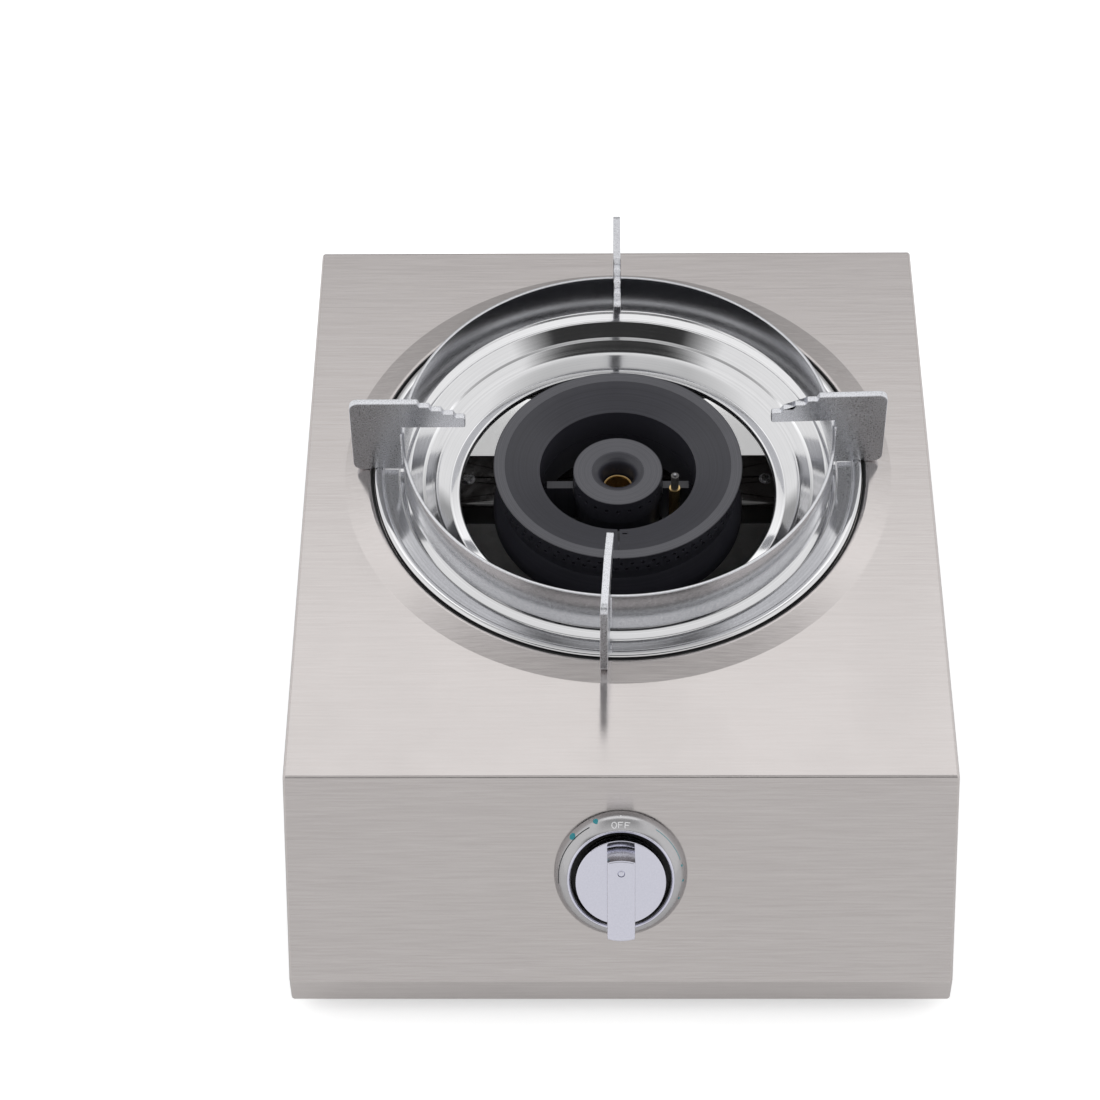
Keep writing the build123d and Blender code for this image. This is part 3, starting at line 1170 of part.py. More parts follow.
def inlet_locknut():
    """Nut that clamps the nipple to the back panel."""
    nut = hexagon(NUT_HEX, LOCKNUT_LENGTH) - Cylinder(NIPPLE_THREAD, 3 * LOCKNUT_LENGTH)
    return on_inlet(REAR_Y - SHEET) * nut


def screw_group(places, length=SCREW_LENGTH):
    """Screws with their heads on the given places."""
    return Compound([place * screw(length) for place in places])


def pieces():
    """Every piece of the stove by its name."""
    parts = {
        "hood": hood(),
        "left_side_panel": side_panel(-1),
        "right_side_panel": side_panel(1),
        "rear_panel": rear_panel(),
        "base_tray": base_tray(),
        "base_screws": screw_group(BASE_SCREWS),
        "rear_screws": screw_group(REAR_SCREWS),
        "foot_screws": foot_screws(),
        "foot_nuts": foot_nuts(),
        "drip_bowl": drip_bowl(),
        "pan_support_ring": pan_support_ring(),
        "outer_flame_cap": outer_flame_cap(),
        "inner_flame_cap": inner_flame_cap(),
        "burner_body": burner_body(),
        "centre_air_tube": centre_air_tube(),
        "outer_mixing_tube": mixing_tube(
            OUTER_TUBE_X,
            OUTER_MOUTH_RADIUS,
            OUTER_THROAT_RADIUS,
            OUTER_RISER_RADIUS,
            OUTER_RISER_BORE,
            OUTER_RISER_Y,
        ),
        "inner_mixing_tube": mixing_tube(
            INNER_TUBE_X,
            INNER_MOUTH_RADIUS,
            INNER_THROAT_RADIUS,
            INNER_RISER_RADIUS,
            INNER_RISER_BORE,
            BURNER_Y,
        ),
        "outer_air_shutter": air_shutter(OUTER_TUBE_X, OUTER_MOUTH_RADIUS),
        "inner_air_shutter": air_shutter(INNER_TUBE_X, INNER_MOUTH_RADIUS),
        "outer_injector": injector(OUTER_TUBE_X),
        "inner_injector": injector(INNER_TUBE_X),
        "burner_bridge": burner_bridge(),
        "left_bridge_leg": bridge_leg(-1),
        "right_bridge_leg": bridge_leg(1),
        "bridge_screws": screw_group(BRIDGE_TOP_SCREWS + LEG_FOOT_SCREWS),
        "burner_screws": screw_group(BURNER_SCREWS),
        "tube_bracket": tube_bracket(),
        "tube_bracket_screws": screw_group(TUBE_BRACKET_SCREWS),
        "spark_electrode": spark_electrode(),
        "electrode_insulator": electrode_insulator(),
        "electrode_sleeve": electrode_sleeve(),
        "electrode_clip": electrode_clip(),
        "electrode_screw": screw_group(ELECTRODE_SCREW, CLIP_SCREW_LENGTH),
        "ignition_lead": ignition_lead(),
        "piezo_igniter": piezo_igniter(),
        "knob": knob(),
        "knob_marker": knob_marker(),
        "knob_clip": knob_clip(),
        "bezel": bezel(),
        "bezel_nuts": bezel_nuts(),
        "valve_stem": valve_stem(),
        "stem_spring": stem_spring(),
        "valve_plug": valve_plug(),
        "valve_cover": valve_cover(),
        "valve_body": valve_body(),
        "valve_screws": screw_group(VALVE_SCREWS),
        "inlet_pipe": inlet_pipe(),
        "valve_pipe_nut": valve_pipe_nut(),
        "rear_pipe_nut": rear_pipe_nut(),
        "hose_nipple": hose_nipple(),
        "inlet_locknut": inlet_locknut(),
    }
    for name, (x, y) in FEET.items():
        parts[f"{name}_foot"] = foot(x, y)
    for name, angle in ARM_ANGLES.items():
        parts[f"pan_support_arm_{name}"] = pan_support_arm(angle)
    return parts


if __name__ == "__main__":
    os.makedirs("parts", exist_ok=True)
    for node, shape in pieces().items():
        export_step(shape, f"parts/{node}.step")
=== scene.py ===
"""Looks of a single burner table-top gas stove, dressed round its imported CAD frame.

Sizes are in millimetres unless a name says otherwise, and turn into metres where a mesh is made.
"""

import json
import logging
import math
from collections.abc import Callable, Iterable, Mapping, Sequence
from dataclasses import dataclass, field
from enum import Enum
from functools import cache, cached_property

import bmesh
import bpy
from mathutils import Matrix, Vector


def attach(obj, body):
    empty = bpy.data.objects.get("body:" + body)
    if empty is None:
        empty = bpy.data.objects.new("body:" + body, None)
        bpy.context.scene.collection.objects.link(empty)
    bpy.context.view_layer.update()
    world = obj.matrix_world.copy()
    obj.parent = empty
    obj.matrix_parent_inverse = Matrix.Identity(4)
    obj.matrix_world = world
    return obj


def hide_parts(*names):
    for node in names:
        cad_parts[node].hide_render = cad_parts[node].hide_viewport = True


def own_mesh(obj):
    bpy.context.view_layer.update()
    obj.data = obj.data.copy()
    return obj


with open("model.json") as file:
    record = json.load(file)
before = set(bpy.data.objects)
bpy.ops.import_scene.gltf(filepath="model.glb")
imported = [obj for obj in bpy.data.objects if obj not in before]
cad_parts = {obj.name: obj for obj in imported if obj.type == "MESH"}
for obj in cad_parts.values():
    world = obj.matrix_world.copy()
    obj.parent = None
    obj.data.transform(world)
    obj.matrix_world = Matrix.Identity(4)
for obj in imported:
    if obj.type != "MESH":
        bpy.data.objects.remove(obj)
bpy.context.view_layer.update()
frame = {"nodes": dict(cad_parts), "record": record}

LOG = logging.getLogger("stove")
MM = 0.001
WELD_METRES = 1e-6
GRAIN_UV = "grain"

Point2 = tuple[float, float]
Point3 = tuple[float, float, float]
Colour = tuple[float, float, float]
Socket = bpy.types.NodeSocket


class Body(Enum):
    """CAD bodies that pieces ride on."""

    STOVE = "stove"
    PLUG = "valve_plug"
    BOWL = "drip_bowl"
    SUPPORT = "pan_support"
    OUTER_CAP = "outer_flame_cap"
    INNER_CAP = "inner_flame_cap"


class Pattern(Enum):
    """Surface patterns that the finishes choose from, by the name of their shader group."""

    BRUSHED = "brushed_grain"
    TURNED = "turned_rings"
    SPECKLE = "fine_speckle"
    SPANGLE = "zinc_spangle"
    CAST = "cast_skin"


@dataclass(frozen=True)
class Layout:
    """Levels and places that several assemblies share, as the CAD parts have them."""

    top_z: float = 110.0
    low_z: float = 10.0
    burner_y: float = 34.705
    rear_y: float = 182.705
    knob_centre: Point3 = (0.0, -172.671, 70.990)
    front_tilt: float = 32.0

    def burner_place(self) -> Matrix:
        """Place of the burner's axis at the level of the top panel, in metres."""
        return Matrix.Translation(Vector((0.0, self.burner_y, self.top_z)) * MM)

    def panel_place(self) -> Matrix:
        """Place on the sloped panel under the knob, with z out of the panel, in metres."""
        turn = Matrix.Rotation(math.radians(90.0 - self.front_tilt), 4, "X")
        return Matrix.Translation(Vector(self.knob_centre) * MM) @ turn


LAYOUT = Layout()


class Board:
    """Adds, sets and links the nodes of one tree."""

    def __init__(self, tree: bpy.types.NodeTree) -> None:
        """Start on a tree."""
        self.tree = tree

    def add(
        self, kind: str, inputs: Mapping[str | int, object] | None = None, **settings: object
    ) -> bpy.types.Node:
        """Add one node.

        Args:
            kind: The node's type name.
            inputs: Values by socket; a socket of another node is linked, any other value is set.
            **settings: Attributes of the node, set before its inputs.

        Returns:
            The new node.
        """
        node = self.tree.nodes.new(kind)
        for key, value in settings.items():
            setattr(node, key, value)
        for key, value in (inputs or {}).items():
            if isinstance(value, bpy.types.NodeSocket):
                self.tree.links.new(value, node.inputs[key])
            else:
                node.inputs[key].default_value = value
        return node

    def get(
        self,
        kind: str,
        inputs: Mapping[str | int, object] | None = None,
        output: str | int = 0,
        **settings: object,
    ) -> Socket:
        """Add one node and give one of its outputs.

        Args:
            kind: The node's type name.
            inputs: Values by socket, as for add.
            output: The output's name or number.
            **settings: Attributes of the node, as for add.

        Returns:
            The output.
        """
        return self.add(kind, inputs, **settings).outputs[output]

    def math(self, operation: str, first: object, second: object = 0.0) -> Socket:
        """Value of a Math node on two sockets or numbers."""
        return self.get("ShaderNodeMath", {0: first, 1: second}, operation=operation)

    def vector(self, operation: str, first: object, second: object) -> Socket:
        """Vector of a Vector Math node on two sockets or vectors."""
        return self.get("ShaderNodeVectorMath", {0: first, 1: second}, operation=operation)

    def spread(self, value: object, low: float, high: float, start: float = 0.0, end: float = 1.0) -> Socket:
        """Value moved from one range into another.

        Args:
            value: Socket or number.
            low: Start of the range it comes from.
            high: End of that range.
            start: Value at low.
            end: Value at high.

        Returns:
            The moved value, held within start and end.
        """
        limits = {"From Min": low, "From Max": high, "To Min": start, "To Max": end}
        return self.get("ShaderNodeMapRange", {"Value": value, **limits})

    def blend(self, first: Socket, second: Socket, share: float) -> Socket:
        """Share of a first value and the rest of a second."""
        rest = self.math("MULTIPLY", second, 1 - share)
        return self.math("ADD", self.math("MULTIPLY", first, share), rest)

    def noise(self, place: Socket, scale: Socket | float, detail: float, roughness: float = 0.55) -> Socket:
        """Value of a Noise Texture."""
        inputs = {"Vector": place, "Scale": scale, "Detail": detail, "Roughness": roughness}
        return self.get("ShaderNodeTexNoise", inputs)


Wiring = Callable[[Board, Socket, Socket], Mapping[str, Socket]]


@cache
def shader_group(name: str, wire: Wiring) -> bpy.types.NodeTree:
    """Shader group that reads a Vector and a Scale, built the first time it is asked for.

    Args:
        name: The group's name.
        wire: Adds the nodes for a place and a scale, and gives the output values by name.

    Returns:
        The group.
    """
    tree = bpy.data.node_groups.new(name, "ShaderNodeTree")
    tree.interface.new_socket("Vector", in_out="INPUT", socket_type="NodeSocketVector")
    tree.interface.new_socket("Scale", in_out="INPUT", socket_type="NodeSocketFloat")
    board = Board(tree)
    source = board.add("NodeGroupInput")
    values = wire(board, source.outputs["Vector"], source.outputs["Scale"])
    for key in values:
        tree.interface.new_socket(key, in_out="OUTPUT", socket_type="NodeSocketFloat")
    board.add("NodeGroupOutput", values)
    return tree


def wire_brushed(board: Board, place: Socket, scale: Socket) -> Mapping[str, Socket]:
    """Short fine strokes along x over longer faint streaks."""
    fine = board.noise(board.vector("MULTIPLY", place, (0.03, 1.0, 1.0)), scale, 2.0, 0.7)
    long = board.noise(board.vector("MULTIPLY", place, (0.01, 0.4, 0.4)), scale, 2.0)
    return {"Mask": board.spread(board.blend(fine, long, 0.75), 0.3, 0.7), "Height": fine}


def wire_turned(board: Board, place: Socket, scale: Socket) -> Mapping[str, Socket]:
    """Rings round the z axis, as a lathe tool leaves them."""
    flat = board.vector("MULTIPLY", place, (1.0, 1.0, 0.0))
    radius = board.get("ShaderNodeVectorMath", {0: flat}, "Value", operation="LENGTH")
    inputs = {"W": radius, "Scale": scale, "Detail": 3.0, "Roughness": 0.7}
    rings = board.get("ShaderNodeTexNoise", inputs, noise_dimensions="1D")
    cloud = board.noise(place, 60.0, 2.0)
    return {"Mask": board.spread(board.blend(rings, cloud, 0.8), 0.34, 0.66), "Height": rings}


def wire_speckle(board: Board, place: Socket, scale: Socket) -> Mapping[str, Socket]:
    """Even fine grain."""
    grain = board.noise(place, scale, 4.0, 0.65)
    return {"Mask": board.spread(grain, 0.36, 0.64), "Height": grain}


def wire_spangle(board: Board, place: Socket, scale: Socket) -> Mapping[str, Socket]:
    """Flat zinc crystals with soft edges."""
    bend = board.get("ShaderNodeTexNoise", {"Vector": place, "Scale": 160.0, "Detail": 2.0}, "Color")
    bent = board.vector("ADD", place, board.vector("MULTIPLY", bend, (0.004, 0.004, 0.004)))
    cell = board.add("ShaderNodeTexVoronoi", {"Vector": bent, "Scale": scale, "Randomness": 1.0})
    tone = board.get("ShaderNodeSeparateColor", {"Color": cell.outputs["Color"]})
    return {"Mask": tone, "Height": cell.outputs["Distance"]}


def wire_cast(board: Board, place: Socket, scale: Socket) -> Mapping[str, Socket]:
    """Pebbled skin of a casting."""
    skin = board.noise(place, scale, 6.0, 0.6)
    pits = board.get("ShaderNodeTexVoronoi", {"Vector": place, "Scale": scale}, "Distance")
    return {"Mask": board.spread(skin, 0.35, 0.65), "Height": board.blend(skin, pits, 0.7)}


def wire_handling(board: Board, place: Socket, scale: Socket) -> Mapping[str, Socket]:
    """Soft patches left by wiping and handling."""
    return {"Mask": board.spread(board.noise(place, scale, 4.0, 0.6), 0.42, 0.68)}


WIRING = {
    Pattern.BRUSHED: wire_brushed,
    Pattern.TURNED: wire_turned,
    Pattern.SPECKLE: wire_speckle,
    Pattern.SPANGLE: wire_spangle,
    Pattern.CAST: wire_cast,
}


def blank_board(shaded: bpy.types.Material | bpy.types.World) -> Board:
    """Board on the emptied nodes of a material or a world."""
    shaded.use_nodes = True
    shaded.node_tree.nodes.clear()
    return Board(shaded.node_tree)


@dataclass(frozen=True)
class Finish:
    """One surface finish; its pattern moves the colour towards tint and the roughness by spread."""

    name: str
    slot: str
    colour: Colour
    tint: Colour
    roughness: float
    spread: float
    pattern: Pattern
    scale: float
    metallic: float = 1.0
    bump: float = 0.1
    relief: float = 0.02
    handling: float = 0.04
    handling_scale: float = 14.0
    anisotropic: float = 0.0
    grain_uv: bool = False
    coat: float = 0.0
    specular: float = 0.5
    coat_roughness: float = 0.08
    centre: Point3 = (0.0, 0.0, 0.0)
    turn: Point3 = (0.0, 0.0, 0.0)

    @cached_property
    def material(self) -> bpy.types.Material:
        """Material of this finish, built the first time it is asked for."""
        material = bpy.data.materials.new(f"{self.name}_finish")
        board = blank_board(material)
        place = board.get("ShaderNodeTexCoord", output="Object")
        mapping = {
            "Vector": place,
            "Location": [value * MM for value in self.centre],
            "Rotation": [math.radians(value) for value in self.turn],
        }
        mapped = board.get("ShaderNodeMapping", mapping, vector_type="TEXTURE")
        group = shader_group(self.pattern.value, WIRING[self.pattern])
        pattern = board.add("ShaderNodeGroup", {"Vector": mapped, "Scale": self.scale}, node_tree=group)
        group = shader_group("handling", wire_handling)
        inputs = {"Vector": place, "Scale": self.handling_scale}
        wiped = board.get("ShaderNodeGroup", inputs, "Mask", node_tree=group)
        mask = pattern.outputs["Mask"]
        tones = {"Factor": mask, "A": (*self.colour, 1.0), "B": (*self.tint, 1.0)}
        colour = board.get("ShaderNodeMix", tones, "Result", data_type="RGBA")
        grain = board.math("MULTIPLY", board.math("SUBTRACT", mask, 0.5), self.spread)
        smudge = board.math("MULTIPLY", wiped, self.handling)
        roughness = board.math("ADD", board.math("ADD", grain, smudge), self.roughness)
        relief = {"Strength": self.bump, "Distance": self.relief * MM, "Height": pattern.outputs["Height"]}
        shader = board.add(
            "ShaderNodeBsdfPrincipled",
            {
                "Base Color": colour,
                "Roughness": roughness,
                "Metallic": self.metallic,
                "Specular IOR Level": self.specular,
                "Anisotropic": self.anisotropic,
                "Coat Weight": self.coat,
                "Coat Roughness": self.coat_roughness,
                "Normal": board.get("ShaderNodeBump", relief),
            },
        )
        if self.grain_uv:
            tangent = board.get("ShaderNodeTangent", direction_type="UV_MAP", uv_map=GRAIN_UV)
            board.tree.links.new(tangent, shader.inputs["Tangent"])
        board.add("ShaderNodeOutputMaterial", {"Surface": shader.outputs["BSDF"]})
        return material


BURNER_AXIS = (0.0, LAYOUT.burner_y, 0.0)

BRUSHED_STEEL = Finish(
    "brushed_stainless", "brushed_stainless", (0.53, 0.497, 0.487), (0.61, 0.575, 0.565), 0.15, 0.04,
    Pattern.BRUSHED, 1150.0, bump=0.12, anisotropic=0.9, grain_uv=True, handling=0.02,
)
GALVANISED = Finish(
    "galvanised_sheet", "galvanised_sheet", (0.53, 0.54, 0.55), (0.6, 0.61, 0.62), 0.36, 0.1,
    Pattern.SPANGLE, 190.0, bump=0.03,
)
BOWL_CHROME = Finish(
    "bowl_chrome", "bowl_chrome", (0.66, 0.66, 0.67), (0.75, 0.75, 0.76), 0.08, 0.05,
    Pattern.TURNED, 900.0, bump=0.02, handling=0.03, centre=BURNER_AXIS,
)
SUPPORT_ZINC = Finish(
    "support_plate", "support_plate", (0.6, 0.605, 0.635), (0.86, 0.87, 0.91), 0.3, 0.16,
    Pattern.SPECKLE, 1500.0, bump=0.35, relief=0.05,
)
HOOP_ZINC = Finish(
    "support_hoop", "support_plate", (0.58, 0.585, 0.61), (0.67, 0.675, 0.7), 0.19, 0.06,
    Pattern.SPECKLE, 900.0, bump=0.03,
)
BURNER_BLACK = Finish(
    "burner_iron", "burner_iron", (0.02, 0.02, 0.026), (0.031, 0.031, 0.04), 0.34, 0.1,
    Pattern.TURNED, 1100.0, metallic=0.0, bump=0.12, centre=BURNER_AXIS,
)
# Lighter copy of the burner's black finish: a painted highlight on the flat lands of the flame caps.
BURNER_PAINTED_SHEEN = Finish(
    "burner_painted_sheen", "burner_iron", (0.057, 0.057, 0.066), (0.088, 0.088, 0.1), 0.36, 0.1,
    Pattern.TURNED, 1400.0, metallic=0.0, bump=0.12, centre=BURNER_AXIS,
)
BRASS = Finish(
    "brass", "brass", (0.66, 0.45, 0.18), (0.8, 0.6, 0.3), 0.34, 0.14, Pattern.TURNED, 1600.0,
    centre=BURNER_AXIS,
)
KNOB_CHROME = Finish(
    "knob_chrome", "knob_chrome", (0.69, 0.69, 0.785), (0.74, 0.74, 0.835), 0.09, 0.04,
    Pattern.SPECKLE, 1800.0, bump=0.02, handling=0.03,
)
DIAL_SATIN = Finish(
    "dial_satin", "knob_chrome", (0.44, 0.435, 0.443), (0.48, 0.474, 0.483), 0.16, 0.05,
    Pattern.SPECKLE, 1800.0, bump=0.05, handling=0.04,
)
BLACK_STEEL = Finish(
    "black_steel", "black_steel", (0.03, 0.027, 0.027), (0.037, 0.033, 0.032), 0.14, 0.06,
    Pattern.CAST, 420.0, metallic=0.0, bump=0.06, coat=1.0, handling=0.1,
)
CAST_ALUMINIUM = Finish(
    "cast_aluminium", "cast_aluminium", (0.45, 0.45, 0.46), (0.58, 0.58, 0.59), 0.48, 0.14,
    Pattern.CAST, 700.0, bump=0.3, relief=0.08,
)
DRAWN_ALUMINIUM = Finish(
    "aluminium_pipe", "aluminium_pipe", (0.62, 0.62, 0.63), (0.72, 0.72, 0.73), 0.3, 0.12,
    Pattern.BRUSHED, 1500.0, turn=(0.0, 0.0, 90.0),
)
ZINC = Finish(
    "zinc_fastener", "zinc_fastener", (0.58, 0.58, 0.6), (0.72, 0.72, 0.74), 0.28, 0.14,
    Pattern.SPECKLE, 1600.0, bump=0.15,
)
SPRING_STEEL = Finish(
    "spring_steel", "spring_steel", (0.36, 0.36, 0.38), (0.48, 0.48, 0.5), 0.3, 0.1, Pattern.SPECKLE, 1600.0,
)
RUBBER = Finish(
    "foot_rubber", "foot_rubber", (0.024, 0.024, 0.025), (0.04, 0.04, 0.041), 0.72, 0.14,
    Pattern.CAST, 900.0, metallic=0.0, bump=0.3, relief=0.08, specular=0.35,
)
PLASTIC = Finish(
    "black_plastic", "black_plastic", (0.024, 0.024, 0.025), (0.036, 0.036, 0.038), 0.5, 0.1,
    Pattern.CAST, 1200.0, metallic=0.0, bump=0.2, relief=0.05,
)
CERAMIC = Finish(
    "insulator_ceramic", "insulator_ceramic", (0.04, 0.038, 0.037), (0.06, 0.057, 0.055), 0.3, 0.08,
    Pattern.SPECKLE, 900.0, metallic=0.0, coat=0.5,
)
PRINT_LIGHT = Finish(
    "print_light", "knob_chrome", (0.62, 0.62, 0.63), (0.72, 0.72, 0.73), 0.5, 0.1,
    Pattern.SPECKLE, 2200.0, metallic=0.0,
)
PRINT_TEAL = Finish(
    "print_teal", "knob_chrome", (0.012, 0.17, 0.21), (0.03, 0.26, 0.3), 0.45, 0.1,
    Pattern.SPECKLE, 2200.0, metallic=0.0,
)
PRINT_DARK = Finish(
    "print_dark", "knob_chrome", (0.012, 0.014, 0.016), (0.03, 0.034, 0.038), 0.5, 0.1,
    Pattern.SPECKLE, 2200.0, metallic=0.0,
)
SILICONE = Finish(
    "lead_silicone", "lead_silicone", (0.42, 0.07, 0.045), (0.52, 0.1, 0.07), 0.6, 0.1,
    Pattern.SPECKLE, 1200.0, metallic=0.0, specular=0.4,
)
NODE_FINISHES = {
    finish.slot: finish
    for finish in (
        BRUSHED_STEEL, GALVANISED, BOWL_CHROME, SUPPORT_ZINC, BURNER_BLACK, BRASS, KNOB_CHROME, BLACK_STEEL,
        CAST_ALUMINIUM, DRAWN_ALUMINIUM, ZINC, SPRING_STEEL, RUBBER, PLASTIC, CERAMIC, SILICONE,
    )
}


def mesh_object(
    name: str,
    points: Iterable[Sequence[float]],
    faces: Iterable[Sequence[int]] = (),
    edges: Iterable[Sequence[int]] = (),
) -> bpy.types.Object:
    """Object from points in millimetres.

    Args:
        name: The object's name.
        points: Vertices in millimetres.
        faces: Faces as vertex numbers.
        edges: Loose edges as vertex numbers.

    Returns:
        The object, linked to the scene.
    """
    mesh = bpy.data.meshes.new(name)
    mesh.from_pydata([[value * MM for value in point] for point in points], list(edges), list(faces))
    made = bpy.data.objects.new(name, mesh)
    bpy.context.scene.collection.objects.link(made)
    return made


def rectangle(name: str, width: float, height: float) -> bpy.types.Object:
    """Flat rectangle round the origin, with its sizes in metres."""
    across, up = width / 2 / MM, height / 2 / MM
    corners = [(-across, -up, 0), (across, -up, 0), (across, up, 0), (-across, up, 0)]
    return mesh_object(name, corners, [(0, 1, 2, 3)])


def spaced(count: int, pitch: float) -> list[float]:
    """Places of a row of things at a pitch, about the row's middle."""
    return [(step - (count - 1) / 2) * pitch for step in range(count)]


def tidy_mesh(mesh: bpy.types.Mesh, sharp: float, outwards: bool = True) -> None:
    """Merge doubles and shade smooth.

    Args:
        mesh: The mesh.
        sharp: Edge angle in degrees past which an edge stays sharp.
        outwards: Whether the faces are turned outwards as well.
    """
    work = bmesh.new()
    work.from_mesh(mesh)
    bmesh.ops.remove_doubles(work, verts=work.verts, dist=WELD_METRES)
    if outwards:
        bmesh.ops.recalc_face_normals(work, faces=work.faces)
    work.to_mesh(mesh)
    work.free()
    mesh.shade_smooth()
    mesh.set_sharp_from_angle(angle=math.radians(sharp))


def paint(made: bpy.types.Object, finish: Finish) -> None:
    """Give an object the material of a finish."""
    made.data.materials.clear()
    made.data.materials.append(finish.material)


def present(made: bpy.types.Object, finish: Finish, body: Body, stands_for: Sequence[str] = ()) -> None:
    """Give a finished piece its body, its finish and the CAD nodes it stands for.

    Args:
        made: The piece.
        finish: Its finish.
        body: The body it moves with.
        stands_for: CAD nodes that it takes the place of.
    """
    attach(made, body.value)
    paint(made, finish)
    if stands_for:
        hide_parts(*stands_for)
    LOG.info("%s: %d faces on %s", made.name, len(made.data.polygons), body.value)


def round_edges(made: bpy.types.Object, width: float, over: float = 60.0) -> None:
    """Round the sharp edges of an object.

    Args:
        made: The object.
        width: Width of the rounding in millimetres.
        over: Angle in degrees past which an edge is rounded.
    """
    bevel = made.modifiers.new("rounding", "BEVEL")
    bevel.width = width * MM
    bevel.segments = 3
    bevel.limit_method = "ANGLE"
    bevel.angle_limit = math.radians(over)


def weigh_faces(made: bpy.types.Object, keep_sharp: bool = False) -> None:
    """Let the large faces of an object set its shading."""
    weights = made.modifiers.new("faces", "WEIGHTED_NORMAL")
    weights.keep_sharp = keep_sharp
    weights.weight = 100


def smooth_modifiers(made: bpy.types.Object, sharp: float, rounding: float = 0.0) -> None:
    """Shade a mesh of loose triangles as a smooth skin.

    Args:
        made: The object.
        sharp: Edge angle in degrees past which an edge stays sharp.
        rounding: Width in millimetres of a bevel along folds.
    """
    made.data.shade_smooth()
    made.modifiers.new("join", "WELD").merge_threshold = WELD_METRES
    if rounding:
        round_edges(made, rounding)
    made.modifiers.new("edges", "EDGE_SPLIT").split_angle = math.radians(sharp)
    weigh_faces(made)


def merged_copy(node: str, name: str, sharp: float) -> bpy.types.Object:
    """Merged and smooth-shaded copy of a CAD node.

    Args:
        node: The node.
        name: The copy's name.
        sharp: Edge angle in degrees past which an edge stays sharp.

    Returns:
        The copy, linked to the scene.
    """
    made = bpy.data.objects.new(name, frame["nodes"][node].data.copy())
    bpy.context.scene.collection.objects.link(made)
    tidy_mesh(made.data, sharp, outwards=False)
    weigh_faces(made, keep_sharp=True)
    return made


def rounded_path(points: Sequence[Point2], radii: Sequence[float], steps: int = 6) -> list[Point2]:
    """Open path through points with its inner corners rounded.

    Args:
        points: Corners of the path.
        radii: Bend radius at each inner corner.
        steps: Segments of each bend.

    Returns:
        Points along the rounded path.
    """
    corners = [Vector(point) for point in points]
    path = [corners[0]]
    for before, corner, after, radius in zip(corners, corners[1:], corners[2:], radii):
        back = (before - corner).normalized()
        ahead = (after - corner).normalized()
        half = back.angle(ahead) / 2
        if radius <= 0 or half > math.radians(89.9):
            path.append(corner)
            continue
        reach = radius / math.tan(half)
        centre = corner + (back + ahead).normalized() * (radius / math.sin(half))
        start = corner + back * reach - centre
        sweep = start.angle_signed(corner + ahead * reach - centre)
        for step in range(steps + 1):
            path.append(centre + Matrix.Rotation(-sweep * step / steps, 2) @ start)
    path.append(corners[-1])
    return [(point.x, point.y) for point in path]


def sheet_section(
    points: Sequence[Point2], radii: Sequence[float], thickness: float, least: float = 0.05
) -> list[Point2]:
    """Closed outline of a bent sheet.

    Args:
        points: Corners of its near side; the sheet lies to the left of them.
        radii: Bend radius at each inner corner of that side.
        thickness: The sheet's thickness.
        least: Smallest bend radius of the far side.

    Returns:
        The outline's points.
    """
    corners = [Vector(point) for point in points]
    runs = [(after - before).normalized() for before, after in zip(corners, corners[1:])]
    lefts = [Vector((-run.y, run.x)) for run in runs]
    far = [corners[0] + lefts[0] * thickness]
    far_radii = []
    for index, radius in enumerate(radii):
        before, after = lefts[index], lefts[index + 1]
        far.append(corners[index + 1] + (before + after) * (thickness / (1 + before.dot(after))))
        turns_left = runs[index].cross(runs[index + 1]) > 0
        far_radii.append(max(radius - thickness if turns_left else radius + thickness, least))
    far.append(corners[-1] + lefts[-1] * thickness)
    far_side = rounded_path([(point.x, point.y) for point in far], far_radii)
    return rounded_path(points, radii) + far_side[::-1]


def bead_section(radius: float, level: float, thickness: float) -> list[Point2]:
    """Round section of a bead that runs round an axis.

    Args:
        radius: Radius of the bead's run.
        level: Height of its middle.
        thickness: Radius of the bead itself.

    Returns:
        Points of the section, (radius, height).
    """
    turns = [math.pi * step / 8 for step in range(16)]
    return [(radius + thickness * math.cos(turn), level + thickness * math.sin(turn)) for turn in turns]


